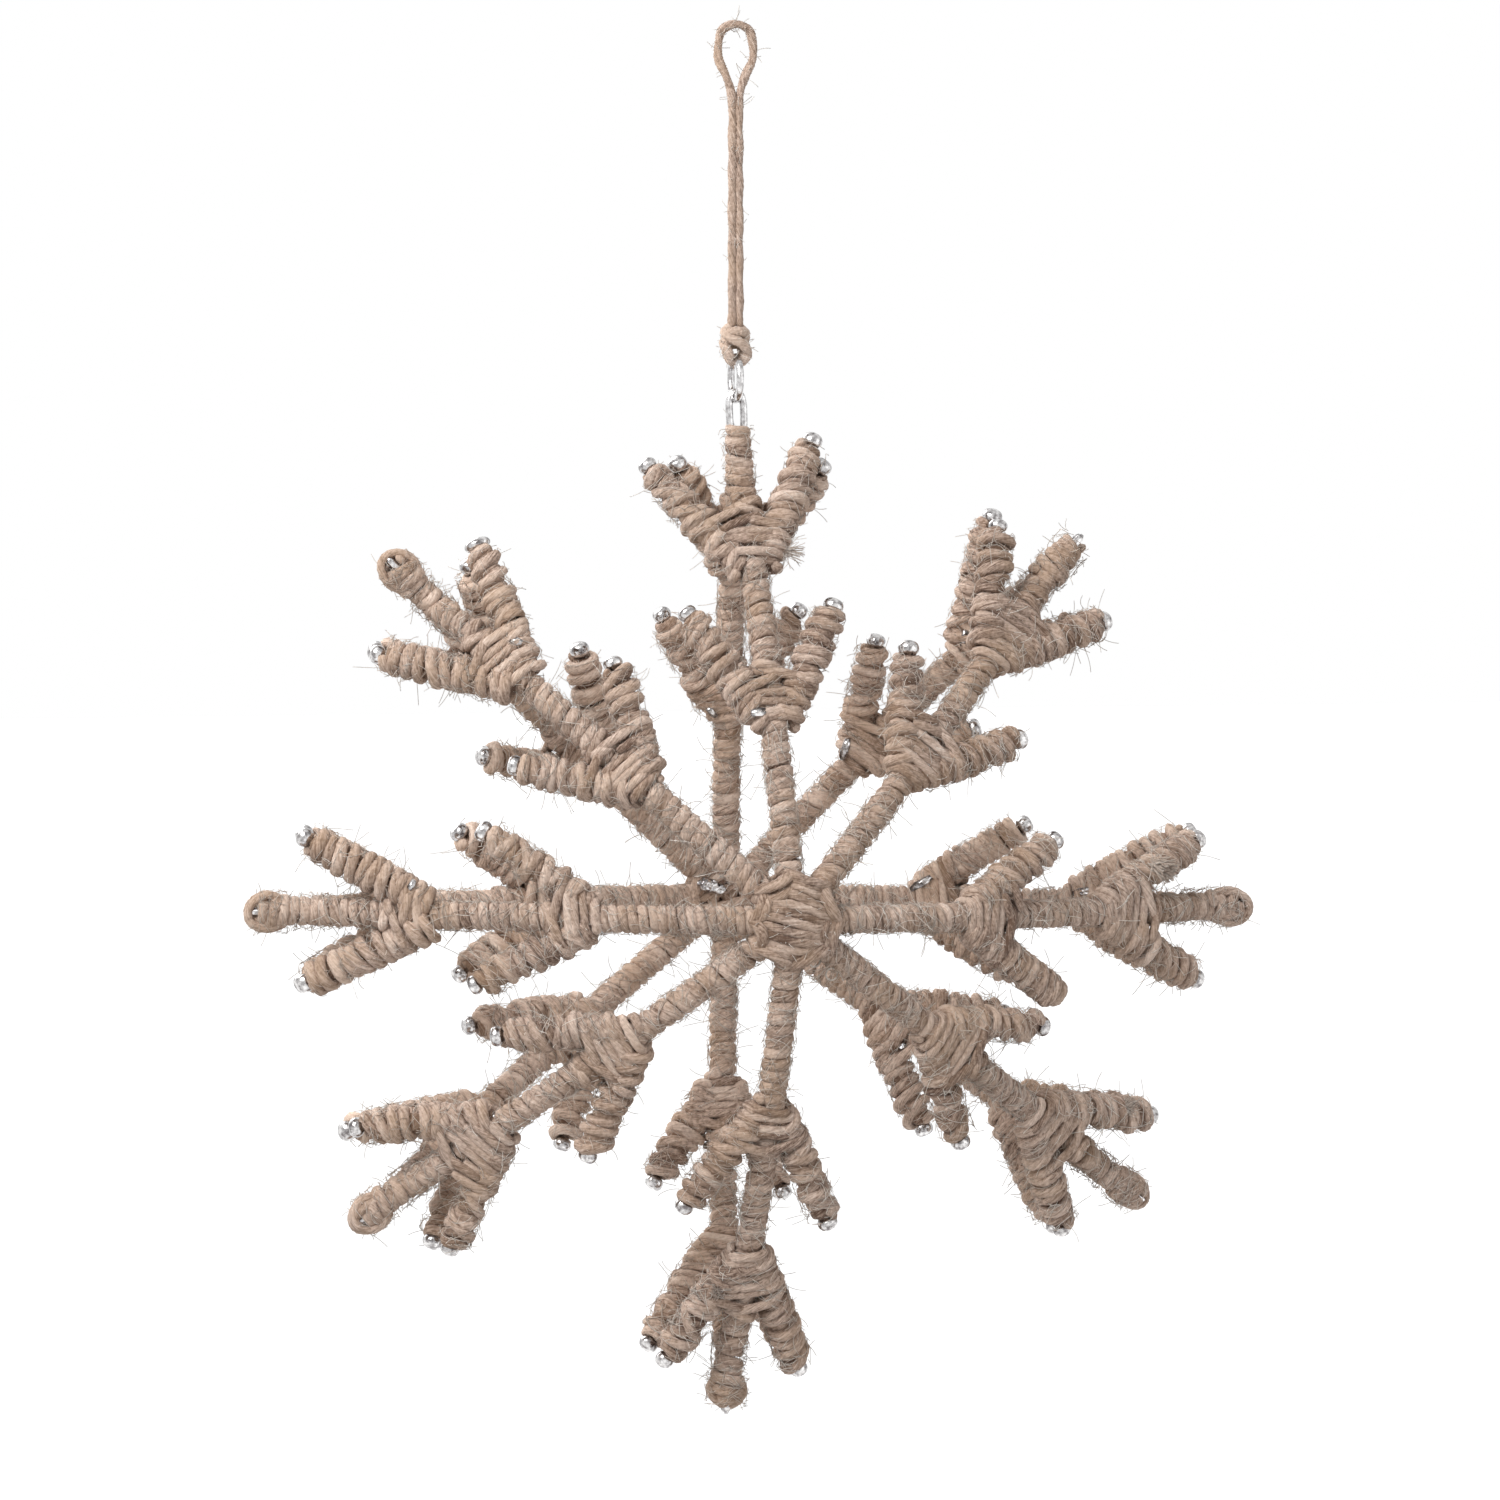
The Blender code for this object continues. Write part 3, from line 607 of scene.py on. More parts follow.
def hood(weave, rng, spoke, root_at, splays, start, end, slant, tone):
    """The turns round the spoke and both branches at a V, wider towards the open end."""
    u, angle = coil(rng, (end - start) / BAND_PITCH, FIGURE_STEPS)
    along = start + BAND_PITCH * (u + wander(rng, u, 2.0, 0.16))
    past = np.maximum(along - root_at, 0.0) * (0.45 + 0.55 * np.minimum(1.0, u / 2.0))
    across, over = box_round(angle, 2.6)
    half_up, half_down = (HOOD_BESIDE + past * math.tan(abs(splay)) for splay in splays)
    half = np.where(across > 0, half_up, half_down) + wander(rng, u, 1.6, 0.12 * MM)
    beside_by = half * across
    level_by = (HOOD_OUT + wander(rng, u, 1.5, 0.28 * MM)) * over
    along = along + slant * beside_by * np.sign(over) + wander(rng, u, 1.1, 0.27 * MM)
    points, beside, level = spoke.off(along, beside_by, level_by)
    outs = (beside_by / half**2)[:, None] * beside + (level_by / HOOD_BULGE**2)[:, None] * level
    swell = 1 + wander(rng, u, 2.0, 0.08)
    weave.add(points, outs, 0.92 * MM * swell, 0.82 * MM * swell, tone + wander(rng, u, 2.0, 0.07))


def fork_turns(weave, rng, spoke, root_at, splay, first, crossed, tone):
    """Turns round the spoke and one branch in their fork, plain or crossed in an eight."""
    sign = 1 if splay > 0 else -1
    u, angle = coil(rng, 1.0 if crossed else 1.1, FIGURE_STEPS)
    past = first + 1.9 * MM * u + wander(rng, u, 1.5, 0.25 * MM)
    centre = 0.5 * past * math.tan(abs(splay))
    if crossed:
        across, over = np.cos(angle), np.sin(2 * angle)
        over = np.sign(over) * np.abs(over) ** 0.8
    else:
        across, over = box_round(angle, 2.4)
    beside_by = sign * centre + (centre + FORK_BESIDE) * across
    level_by = (FORK_OUT + wander(rng, u, 1.0, 0.15 * MM)) * over
    along = root_at + past - 0.3 * (beside_by * sign - centre)
    points, beside, level = spoke.off(along, beside_by, level_by)
    lifted = np.where(np.abs(over) < 0.25, np.sign(over) * 0.25, over)
    outs = (0.4 * across)[:, None] * beside + lifted[:, None] * level
    weave.add(points, outs, 0.98 * MM, 0.72 * MM, tone + wander(rng, u, 2.0, 0.06))


# How the outer strands are piled on a branch, in two of its styles: the least and the most
# pitch, the strand's half width and half height in mm, its roughness and its steps a turn.
PILED = {"layered": (2.6, 3.0, 1.04, 1.12, 1.8, 36), "fat": (2.35, 2.6, 1.2, 1.2, 1.7, 32)}


def branch_turns(weave, rng, rod, length, style, tone):
    """The winding on one branch, which swells and thins as the strands pile up on it."""
    start, end, over = 4.2 * MM, length - 1.5 * MM, length + 1.75 * MM
    core(weave, rod, start, end - 0.3 * MM, BRANCH_CORE)
    size = rng.uniform(0.95, 1.08)
    waves = rng.uniform(1.5, 3.5)
    shift = rng.uniform(0.0, 6.0)

    def outer(share):
        close = np.clip((1 - share) / 0.10, 0.0, 1.0)
        swell = 0.16 * np.sin(math.pi * share * waves + shift)
        return size * (2.02 + 0.46 * close + swell) * MM

    def closing(share):
        past = np.clip((start + share * (over - start) - length + 0.6 * MM) / (2.3 * MM), 0.0, 1.0)
        return (2.75 - 1.9 * past**1.6) * MM

    def lay(pitch, radius, wide, thick, tone, *manner, last=end):
        wind(weave, rng, rod, start, last, pitch * MM, radius, wide * MM, thick * MM, tone, *manner)

    # The under layer is drawn darker: painted shade beneath the outer strands.
    if style in ("layered", "crossed"):
        lay(2.0, 1.9 * MM, 1.08, 0.7, tone - 0.05)
    if style == "capped":
        lay(1.7, closing, 1.05, 0.85, tone, 1.0, 1, 40, last=over)
    elif style == "fine":
        lay(1.9, 2.5 * MM, 1.08, 0.82, tone, 0.8)
    elif style == "crossed":
        for hand in (1, -1):
            pitch = rng.uniform(5.2, 6.4)
            lay(pitch, outer, 1.1, 0.92, tone + 0.01 * hand, 1.5, hand, 52, last=end - 0.6 * MM)
    else:
        least, most, wide, thick, rough, steps = PILED[style]
        lay(rng.uniform(least, most), outer, wide, thick, tone, rough, 1, steps)


def hairs(weave, rng, rod, start, end, radius, number, longest=6.5 * MM):
    """Loose fibres that stand out of a winding."""
    along = rng.uniform(start, end, number)
    places, outs = rod.round(along, rng.uniform(0, TURN, number), np.zeros(number))
    for place, out in zip(places, outs):
        root = place + out * radius * rng.uniform(0.75, 0.98)
        heading = unit(out * rng.uniform(0.2, 0.9) + unit(rng.normal(size=3)) * 0.9)
        length = 0.8 * MM + (longest - 0.8 * MM) * rng.uniform() ** 2
        hair(weave, rng, root, heading, length)


def lying_hairs(weave, rng, rod, start, end, radius, number):
    """Fibres that lie loose across the turns."""
    steps = 7
    share = np.linspace(-1.0, 1.0, steps)
    for _ in range(number):
        step = rng.uniform(2.0, 7.0) * MM / (steps - 1)
        heading = rng.normal(0, 0.7) + rng.normal(0, 0.6) * share
        run = np.cumsum(np.sin(heading)) * step
        round_by = np.cumsum(np.cos(heading)) * step / radius
        along = np.clip(rng.uniform(start, end) + run, start, end)
        angle = rng.uniform(0, TURN) + round_by
        lift = radius + rng.uniform(-0.05, 0.2) * MM + rng.uniform(0.0, 0.7) * MM * share**2
        points, outs = rod.round(along, angle, lift)
        # Lying fibres are drawn paler: partly their own pale colour, partly painted light.
        fibre(weave, points, outs, rng.uniform(0.1, 0.5))


def fibre(weave, points, outs, tone, radius=HAIR_RADIUS):
    weave.add(points, outs, radius, radius, tone, sides=HAIR_SIDES, ply=0.0, ends=(1.0,))


def tuft(weave, rng, root, heading, spread, number, length):
    """A frayed end: many fibres out of one place, thicker where they make a brush."""
    heading = unit(np.asarray(heading, float))
    thick = BRUSH_RADIUS if number > 100 else HAIR_RADIUS
    for _ in range(number):
        start = root + rng.normal(size=3) * 0.45 * MM
        out = unit(heading + spread * rng.normal(size=3))
        reach = length * rng.uniform(0.7, 1.05)
        # The frayed fibres are drawn paler: partly their own pale colour, partly painted light.
        hair(weave, rng, start, out, reach, thick, rng.uniform(0.1, 0.4), 0.25)


def hair(weave, rng, root, heading, length, radius=HAIR_RADIUS, tone=0.45, curl_most=0.8):
    """One loose fibre, curling as it goes."""
    steps = 6
    curl = unit(rng.normal(size=3)) * rng.uniform(0.1, curl_most)
    points = [root]
    for _ in range(steps):
        heading = unit(heading + curl / steps * 2.2)
        points.append(points[-1] + heading * length / steps)
    points = np.array(points)
    # The high tone takes a fibre to the near-white fuzz: partly its own pale colour, partly painted
    # light.
    fibre(weave, points, level_outs(points, (0.3, -0.8, 0.5)), tone, radius)


def stray(weave, rng, root, out, spread, most):
    """A loose fibre that stands about straight out and is up to that long in mm."""
    hair(weave, rng, root, unit(out + spread * unit(rng.normal(size=3))), rng.uniform(1.0, most) * MM)


def off_layer(layer, arm, along, beside, level):
    """A place in mm along and beside an arm's spoke and out from its layer, in the arm's frame."""
    y = LAYERS[layer] * (depth(arm, along * MM) + level * MM)
    return np.array((along * MM, y, beside * MM))


def seeded(number, layer, arm):
    return np.random.default_rng(number + 100 * list(LAYERS).index(layer) + list(ARMS).index(arm))


# Where the bands over a front V begin and end along the spoke in mm, and their slant, for the
# inner V and the outer one.
HOODS = {
    "n": ((38.0, 44.5, 0.05), (70.0, 75.7, 0.05)),
    "ne": ((35.8, 45.5, 0.0), (65.8, 77.0, -0.10)),
    "e": ((36.2, 44.5, 0.10), (67.0, 76.0, 0.12)),
    "se": ((36.2, 46.0, -0.05), (66.6, 76.0, 0.10)),
    "s": ((35.8, 43.5, 0.10), (66.4, 76.0, -0.16)),
    "sw": ((35.8, 44.5, 0.14), (68.0, 77.0, -0.14)),
    "w": ((37.5, 43.5, -0.05), (68.8, 72.5, 0.05)),
    "nw": ((37.0, 46.0, 0.12), (69.0, 76.0, 0.16)),
}
# The front branches whose winding isn't layered, by their arm and their place on it: inner V
# and then outer V, counterclockwise side first.
STYLES = {
    ("n", 2): "crossed",
    ("e", 1): "capped",
    ("se", 1): "crossed",
    ("se", 3): "fat",
    ("s", 0): "crossed",
    ("s", 3): "crossed",
    ("sw", 2): "crossed",
    ("sw", 3): "fat",
    ("w", 1): "crossed",
    ("w", 2): "fat",
    ("w", 3): "fat",
    ("nw", 2): "fat",
}
# Frayed ends of twine: where on the arm (along, beside and out from the layer, in mm), the way
# they point, how far they spread, how many fibres and their length in mm.
FRAYS = {
    ("front", "e"): (((79.0, 9.4, 3.1), (0.75, -0.5, -0.45), 0.32, 190, 5.0),),
    ("front", "se"): (((84.0, 12.0, 2.5), (0.3, -0.4, 0.9), 0.35, 70, 3.5),),
    ("front", "n"): (((71.5, -6.2, 1.5), (-0.2, -0.3, -0.95), 0.3, 40, 4.0),),
    ("front", "s"): (((75.5, -5.6, 2.6), (0.2, -0.9, -0.3), 0.3, 60, 2.2),),
}
# Fibres curled into rings, by the front hub: where their middles are on the arm and the radius.
CURLS = {("front", "se"): (((8.4, -3.6, 1.0), 1.15), ((12.9, -3.6, 1.0), 1.2))}
# How far apart the turns lie on each arm's spokes, in mm.
SPOKE_PITCH = {"n": 2.25, "ne": 2.15, "e": 1.7, "se": 1.9, "s": 2.3, "sw": 2.1, "w": 1.85, "nw": 2.3}
# Some arms have paler twine than others.
TONES = {"n": 0, "ne": -0.015, "e": 0.01, "se": 0, "s": -0.005, "sw": 0.015, "w": 0.01, "nw": 0.015}


def twine_of_arm(layer, arm):
    """All the twine wound on one arm: the spoke, the hoods and the four branches."""
    rng = seeded(0, layer, arm)
    weave = Weave()
    spoke = Rod(layer, arm)
    tone = TONES[arm]
    start, end, pitch = WRAP_START, wrap_end(arm), SPOKE_PITCH[arm] * MM
    core(weave, spoke, start, end - 0.3 * MM, SPOKE_CORE)
    wind(weave, rng, spoke, start, end, pitch, SPOKE_TURNS, 0.55 * pitch, 0.78 * MM, tone, 0.6)
    for root_at, (first, last, slant) in zip(V_ROOTS, HOODS[arm]):
        if layer == "back":
            slant = -slant * rng.uniform(0.4, 1.4)
            first += rng.uniform(-0.8, 0.6)
            last += rng.uniform(-1.0, 1.0)
        splays = [splay for root, _, _, splay in branches(layer, arm) if root == root_at]
        hood(weave, rng, spoke, root_at, splays, first * MM, last * MM, slant, tone)
        for splay in splays:
            after = last * MM - root_at + rng.uniform(-0.4, 0.6) * MM
            # The fork's turns are drawn darker: painted shade in the V's crotch.
            fork_turns(weave, rng, spoke, root_at, splay, after, False, tone - 0.04)
            if rng.uniform() < 0.6:
                after += rng.uniform(1.2, 2.2) * MM
                fork_turns(weave, rng, spoke, root_at, splay, after, True, tone - 0.01)
    styles = [STYLES.get((arm, k), "layered") for k in range(4)]
    if layer == "back":
        styles = [style.replace("capped", "fine") for style in rng.permutation(styles)]
    for style, (_, rod, length, _) in zip(styles, branches(layer, arm)):
        branch_turns(weave, rng, rod, length, style, tone + rng.uniform(-0.03, 0.02))
        hairs(weave, rng, rod, 6 * MM, length - 2.0 * MM, 3.2 * MM, 75)
        lying_hairs(weave, rng, rod, 6 * MM, length - 2.0 * MM, 3.4 * MM, 110)
    hairs(weave, rng, spoke, 9 * MM, end, 2.7 * MM, 280)
    lying_hairs(weave, rng, spoke, 7 * MM, end, 2.86 * MM, 420)
    for place, heading, spread, number, length in FRAYS.get((layer, arm), ()):
        tuft(weave, rng, off_layer(layer, arm, *place), heading, spread, number, length * MM)
    turn = np.linspace(0, 2.2 * math.pi, 26)
    ring = joined(np.cos(turn), 0.2 * np.sin(turn + 1.0), np.sin(turn))
    for place, radius in CURLS.get((layer, arm), ()):
        # The curls' tone is near white: painted light on the fibres.
        fibre(weave, off_layer(layer, arm, *place) + ring * radius * MM, ring, 0.8, CURL_RADIUS)
    name = f"twine_{layer}_{arm}"
    show(name, weave, JUTE[layer], "snowflake", "twine", f"{layer}_twine_wrap_{arm}", arm=arm)


class Metal:
    """Gathers rods, heads and plates of iron into one mesh."""

    def __init__(self):
        self.spots, self.corners, self.sizes, self.base = [], [], [], 0

    def gather(self, spots, corners, sizes):
        self.spots.append(spots)
        self.corners += corners
        self.sizes += sizes
        self.base += len(spots)

    def sweep(self, points, radii, sides=20, outs=None, closed=False, flat=1.0):
        """A closed round body along points, with one radius for each."""
        tangents = tangents_of(points)
        if closed:
            tangents = unit(np.roll(points, -1, axis=0) - np.roll(points, 1, axis=0))
        if outs is None:
            outs = level_outs(points, (0.2, -0.9, 0.4))
        angles = TURN * np.arange(sides) / sides
        radii = np.broadcast_to(radii, (len(points),))[:, None]
        spots = rings_round(points, tangents, outs, radii, flat * radii, angles)
        self.gather(spots.reshape(-1, 3), *tube_faces(self.base, len(points), sides, closed))

    def slab(self, corners, half):
        """A flat plate of that outline, so thick to each side of it."""
        count = len(corners)
        one, two, three = corners[:: count // 3]
        normal = unit(np.cross(two - one, three - one))
        ring = np.arange(count)
        after = (ring + 1) % count
        walls = joined(ring, after, after + count, ring + count) + self.base
        faces = [self.base + ring[::-1], self.base + count + ring, walls.ravel()]
        spots = np.concatenate((corners - normal * half, corners + normal * half))
        self.gather(spots, faces, [np.full(2, count), np.full(count, 4)])

    def mesh(self, name, direction=None):
        spots = np.concatenate(self.spots)
        if direction is not None:
            spots = turned_to(spots, direction)
        return make_mesh(name, spots, self.corners, self.sizes)


# The back hub's rough weld, which shows from the front between two spokes' windings.
WELD_ON = ("back", "nw")
WELD_FROM = np.array((1.9, 25.6, -0.6)) * MM
WELD_TO = np.array((8.0, 25.2, 2.1)) * MM


def head_profile(rng, length, half_width):
    """The outline of a branch's rod and its nail-like head, as places and radii."""
    half = 1.42 * MM * rng.uniform(0.92, 1.1)
    wide = 2.02 * MM * rng.uniform(0.95, 1.05)
    if half_width:
        half, wide = 1.15 * MM, half_width * MM
    shape = [(0.2 * MM, 0.7 * MM), (1.0 * MM, BRANCH_ROD), (length - 2.2 * MM, BRANCH_ROD)]
    shape.append((length - 1.6 * MM, 1.1 * BRANCH_ROD))
    for degrees in (-70, -55, -40, -20, 0, 20, 40, 55, 68, 80):
        a = math.radians(degrees)
        shape.append((length + half * math.sin(a), wide * math.cos(a) ** 0.62))
    shape.append((length + 1.01 * half, 0.25 * MM))
    return np.array(shape)


# The flat welds that show between the turns: along and beside the arm and out from the layer
# in mm, how long and wide they show, and their turn in degrees.
PLATES = {
    ("front", "n"): ((40.8, 3.5, 3.3, 3.0, 1.7, 90),),
    ("front", "w"): ((72.6, -5.9, 3.3, 2.6, 1.2, 60),),
    ("front", "nw"): ((74.8, -4.5, 3.3, 2.4, 1.6, 20),),
    ("back", "e"): ((38.1, 3.6, -3.3, 5.0, 1.6, 30), (69.3, 2.6, -3.3, 4.0, 1.6, 10)),
    ("back", "ne"): ((37.7, 4.0, -3.3, 4.5, 1.6, 25), (69.3, 2.9, -3.3, 3.4, 1.4, 30)),
    ("back", "n"): ((38.8, 4.0, -3.3, 2.6, 1.3, 40),),
}
# Heads that are wider than the rest: a branch's place on its arm, and half its width in mm.
WIDE_HEADS = {("front", "nw", 3): 2.7}
# A weld's outline, in shares of its length and width.
PLATE = ((-0.5, -0.4), (0.1, -0.5), (0.5, -0.2), (0.45, 0.45), (-0.2, 0.5), (-0.5, 0.2))


def plate(layer, arm, along, beside, level, long, wide, turn):
    """A weld's flat, as its corners in the arm's frame."""
    cosine, sine = math.cos(math.radians(turn)), math.sin(math.radians(turn))
    corners = []
    for u, v in PLATE:
        x = along + u * long * cosine - v * wide * sine
        z = beside + u * long * sine + v * wide * cosine
        corners.append(off_layer(layer, arm, x, z, level))
    return np.array(corners)


def iron_of_arm(layer, arm):
    """The spoke, its branches with their heads, and the flat welds in the forks."""
    rng = seeded(700, layer, arm)
    metal = Metal()
    spoke = Rod(layer, arm)
    places, _, level = spoke.at(np.linspace(HUB_RADIUS + 0.3 * MM, ARMS[arm][1], 60))
    radii = np.full(len(places), SPOKE_ROD)
    radii[-2:] = 0.86 * SPOKE_ROD, 0.35 * SPOKE_ROD
    places[-2] = places[-1] + (places[-3] - places[-1]) * 0.25
    metal.sweep(places, radii, outs=level)
    for outline in PLATES.get((layer, arm), ()):
        metal.slab(plate(layer, arm, *outline), 0.4 * MM)
    for k, (root_at, rod, length, splay) in enumerate(branches(layer, arm)):
        shape = head_profile(rng, length, WIDE_HEADS.get((layer, arm, k)))
        metal.sweep(rod.at(shape[:, 0])[0], shape[:, 1], flat=rng.uniform(0.9, 1.0))
        far = spoke.at((root_at + 9.0 * MM,))[0][0]
        outline = np.array((rod.root, rod.root + rod.direction * 9.5 * MM, far))
        metal.slab(outline[::-1] if splay < 0 else outline, 0.6 * MM)
    if (layer, arm) == WELD_ON:
        count = 14
        bead = np.linspace(0.0, 1.0, count)
        lumps = np.sin(math.pi * bead) ** 0.5 * 1.5 * MM * rng.uniform(0.7, 1.25, count) + 0.1 * MM
        line = WELD_FROM + bead[:, None] * (WELD_TO - WELD_FROM)
        line = line + rng.normal(size=(count, 3)) * 0.22 * MM
        metal.sweep(line, lumps, sides=9, outs=np.broadcast_to((0.0, -1.0, 0.0), line.shape))
    name = f"iron_{layer}_{arm}"
    show(name, metal, IRON, "snowflake", "iron", f"{layer}_iron_arm_{arm}", arm=arm)


def band_loop(weave, rng, centre, direction, offset, deep, tone):
    """A turn of twine over both faces of the hub, straight across it."""
    angle = np.linspace(0, TURN * 1.04, 90) + math.pi / 2
    reach = math.sqrt(max(HUB_TURNS**2 - offset**2, (2.8 * MM) ** 2)) + rng.uniform(-0.4, 0.6) * MM
    bulge = deep * math.sqrt(max(0.0, 1 - (offset / (HUB_TURNS * 1.2)) ** 2))
    turn = math.radians(direction)
    heading = np.array((math.cos(turn), 0.0, math.sin(turn)))
    side = np.array((-math.sin(turn), 0.0, math.cos(turn)))
    away = np.array((0.0, 1.0, 0.0))
    across, over = box_round(angle, 2.1)
    along_by = reach * across
    deep_by = bulge * over
    sway = offset * (1 - 0.34 * (along_by / HUB_TURNS) ** 2) + wander(rng, angle, 3.0, 0.3 * MM)
    points = centre + along_by[:, None] * heading + sway[:, None] * side + deep_by[:, None] * away
    outs = (along_by / reach**2)[:, None] * heading + (deep_by / bulge**2)[:, None] * away
    outs = outs + (offset / HUB_TURNS**2) * side * 0.6
    weave.add(points, outs, 0.96 * MM, 0.8 * MM, tone + wander(rng, angle, 3.0, 0.07))


# The beds of turns over each hub: their bearing in degrees, how far out they bulge in mm, their
# tone, and how far apart they lie in mm. The front hub's last bed is fanned. The tones are painted
# shade: darker than the arms' twine, most on the front hub and on the beds that others cover.
TOP_BED = -17
BEDS = {
    "front": (
        (76, 2.9, -0.12, 2.3),
        (30, 3.1, -0.11, 2.3),
        (120, 3.3, -0.11, 2.3),
        (TOP_BED, 4.05, -0.045, 1.7),
    ),
    "back": ((66, 2.6, -0.05, 3.3), (-62, 3.0, -0.04, 3.3), (18, 3.4, -0.02, 3.0)),
}


def twine_of_hub(layer):
    """The turns over a hub, laid across it in several directions and tied between spokes."""
    rng = np.random.default_rng(40 + list(LAYERS).index(layer))
    weave = Weave()
    centre = MIDDLE + np.array((0.0, LAYERS[layer] * HUB_DEPTH, 0.0))
    for direction, deep, tone, pitch in BEDS[layer]:
        for offset in np.arange(-7.0, 7.1, pitch):
            lean = direction + rng.uniform(-7, 7)
            if direction == TOP_BED:
                lean = direction + rng.uniform(-2.5, 2.5) - 0.9 * offset
            bulge = deep * MM + rng.uniform(-0.15, 0.15) * MM
            band_loop(weave, rng, centre, lean, offset * MM, bulge, tone + rng.uniform(-0.05, 0.05))
    bearings = sorted(math.radians(direction) for direction, _ in ARMS.values())
    for one, two in zip(bearings, [*bearings[1:], bearings[0] + TURN]):
        for _ in range(3):
            reach = rng.uniform(7.0, 10.2) * MM
            lift = rng.uniform(2.6, 3.3) * MM
            turn = np.linspace(0, TURN, 50)
            bearing = one + (two - one) * (0.5 - 0.62 * np.cos(turn))
            cosine, sine, away = np.cos(bearing), np.sin(bearing), np.sin(turn)
            radial = reach * (1 - 0.16 * away**2)
            points = centre + joined(radial * cosine, lift * away, radial * sine)
            outs = joined(0.4 * cosine, away, 0.4 * sine)
            # The ties are drawn darker too: painted shade between the spokes.
            weave.add(points, outs, 0.95 * MM, 0.72 * MM, -0.04 + rng.uniform(-0.04, 0.04))
    for _ in range(150):
        out = unit(rng.normal(size=3))
        stray(weave, rng, centre + out * np.array((7.6, 4.1, 7.6)) * MM, out, 0.9, 3.2)
    show(f"twine_{layer}_hub", weave, JUTE[layer], "snowflake", "twine", f"{layer}_hub_wrap")


def eased(share, most, drop, first=0.0, last=1.0, power=1.0):
    """A measure, given in mm, that drops by so much between two shares of the way."""
    return (most - drop * np.clip((share - first) / (last - first), 0, 1) ** power) * MM


def oval_turns(weave, rng, start, end, pitch, half_width, half_depth, wide, thick, tone):
    """Turns round both layers' spokes, oval where the spokes stand apart.

    half_width and half_depth say how the turns narrow on the way, as eased reads it.
    """
    turns = (end - start) / pitch
    u, angle = coil(rng, turns, TIP_STEPS)
    along = start + pitch * (u + wander(rng, u, 2.0, 0.12))
    along = along + wander(rng, u, 4.0, 0.2 * pitch) * np.cos(angle)
    width = eased(u / turns, *half_width) + wander(rng, u, 1.4, 0.1 * MM)
    deep = eased(u / turns, *half_depth) + wander(rng, u, 1.4, 0.1 * MM)
    cosine, sine = np.cos(angle), np.sin(angle)
    points = joined(along, deep * sine, width * cosine)
    outs = joined(np.zeros_like(u), sine / deep, cosine / width)
    weave.add(points, outs, wide, thick, tone + wander(rng, u, 3.0, 0.05))


def end_loop(weave, rng, near, far, half_width, roll, sway, tone):
    """A strand that runs lengthwise over the end of a tip and back on its other side."""
    angle = np.linspace(-0.78 * math.pi, 0.78 * math.pi, 64)
    middle = (near + far) / 2
    along = middle + (far - middle) * np.cos(angle)
    across = half_width * np.sin(angle) * (1 - 0.25 * np.clip(-np.cos(angle), 0, 1))
    along = along + wander(rng, angle, 3.0, 0.2 * MM)
    lift = sway + wander(rng, angle, 4.0, 0.25 * MM)
    cosine, sine = math.cos(math.radians(roll)), math.sin(math.radians(roll))
    points = joined(along, across * sine + lift * cosine, across * cosine - lift * sine)
    outs = points - np.array((middle, 0.0, 0.0))
    weave.add(points, outs, 0.92 * MM, 0.8 * MM, tone + wander(rng, angle, 2.0, 0.04))


# The loops over each tip's end: their roll about the arm in degrees, and in mm their sway,
# their half width and how far past the end they reach.
TIPS = {
    "ne": (),
    "e": ((0, -1.9, 3.2, 0.5), (0, 0.0, 3.35, 0.7), (0, 1.9, 3.2, 0.4), (62, 0.0, 3.3, 0.0)),
    "se": ((18, -0.9, 3.0, 0.1), (-62, 0.3, 3.3, -0.4)),
    "s": ((-6, -0.9, 3.4, -1.2), (12, 1.2, 3.2, -1.4)),
    "sw": ((0, -1.8, 3.1, 0.2), (10, 0.2, 3.3, 0.5), (64, 0.6, 3.2, -0.2)),
    "w": ((4, -1.3, 3.35, 0.7), (-38, 0.6, 3.3, -0.8), (0, 1.6, 3.2, 0.2)),
    "nw": ((0, -0.9, 3.4, 0.8), (-24, 1.2, 3.2, 0.2)),
}


def twine_of_tip(arm):
    """The turns that bind both layers at a tip, and the loops over its end."""
    rng = seeded(60, "front", arm)
    tone = TONES[arm]
    tip = Rod(None, arm)
    tip_end = ARMS[arm][1]
    start = wrap_end(arm) - 2.2 * MM
    inner = Weave()
    shape = ((2.2, 0.1, 0.75), (5.0, 2.5, 0.0, 0.62), 1.15 * MM, 0.68 * MM)
    oval_turns(inner, rng, start, tip_end - 2.2 * MM, 2.0 * MM, *shape, tone)
    lying_hairs(inner, rng, tip, start, tip_end - 9 * MM, 3.4 * MM, 60)
    name = f"twine_tip_inner_{arm}"
    show(name, inner, JUTE["front"], "snowflake", "twine", f"tip_core_{arm}", arm=arm)

    outer = Weave()
    if TIPS[arm]:
        start, turns, width, deep = tip_end - 8.2 * MM, 2.3, (2.75, -0.15), (3.2, 0.0)
    else:
        start, turns = tip_end - 11.5 * MM, 4.6
        width, deep = (3.2, 1.5, 0.0, 1.0, 1.5), (3.8, 1.9, 0.0, 1.0, 1.5)
    end = start + turns * TIP_PITCH
    oval_turns(outer, rng, start, end, TIP_PITCH, width, deep, 1.12 * MM, 0.75 * MM, tone)
    for roll, sway, half, past in TIPS[arm]:
        far = tip_end - 0.6 * MM + past * MM
        end_loop(outer, rng, tip_end - 8.6 * MM, far, half * MM, roll, sway * MM, tone)
    hairs(outer, rng, tip, start - 6 * MM, tip_end - 1 * MM, 3.3 * MM, 70, 5.0 * MM)
    lying_hairs(outer, rng, tip, start, tip_end - 2 * MM, 3.9 * MM, 50)
    name = f"twine_tip_outer_{arm}"
    show(name, outer, JUTE["front"], "snowflake", "twine", f"tip_winding_{arm}", arm=arm)


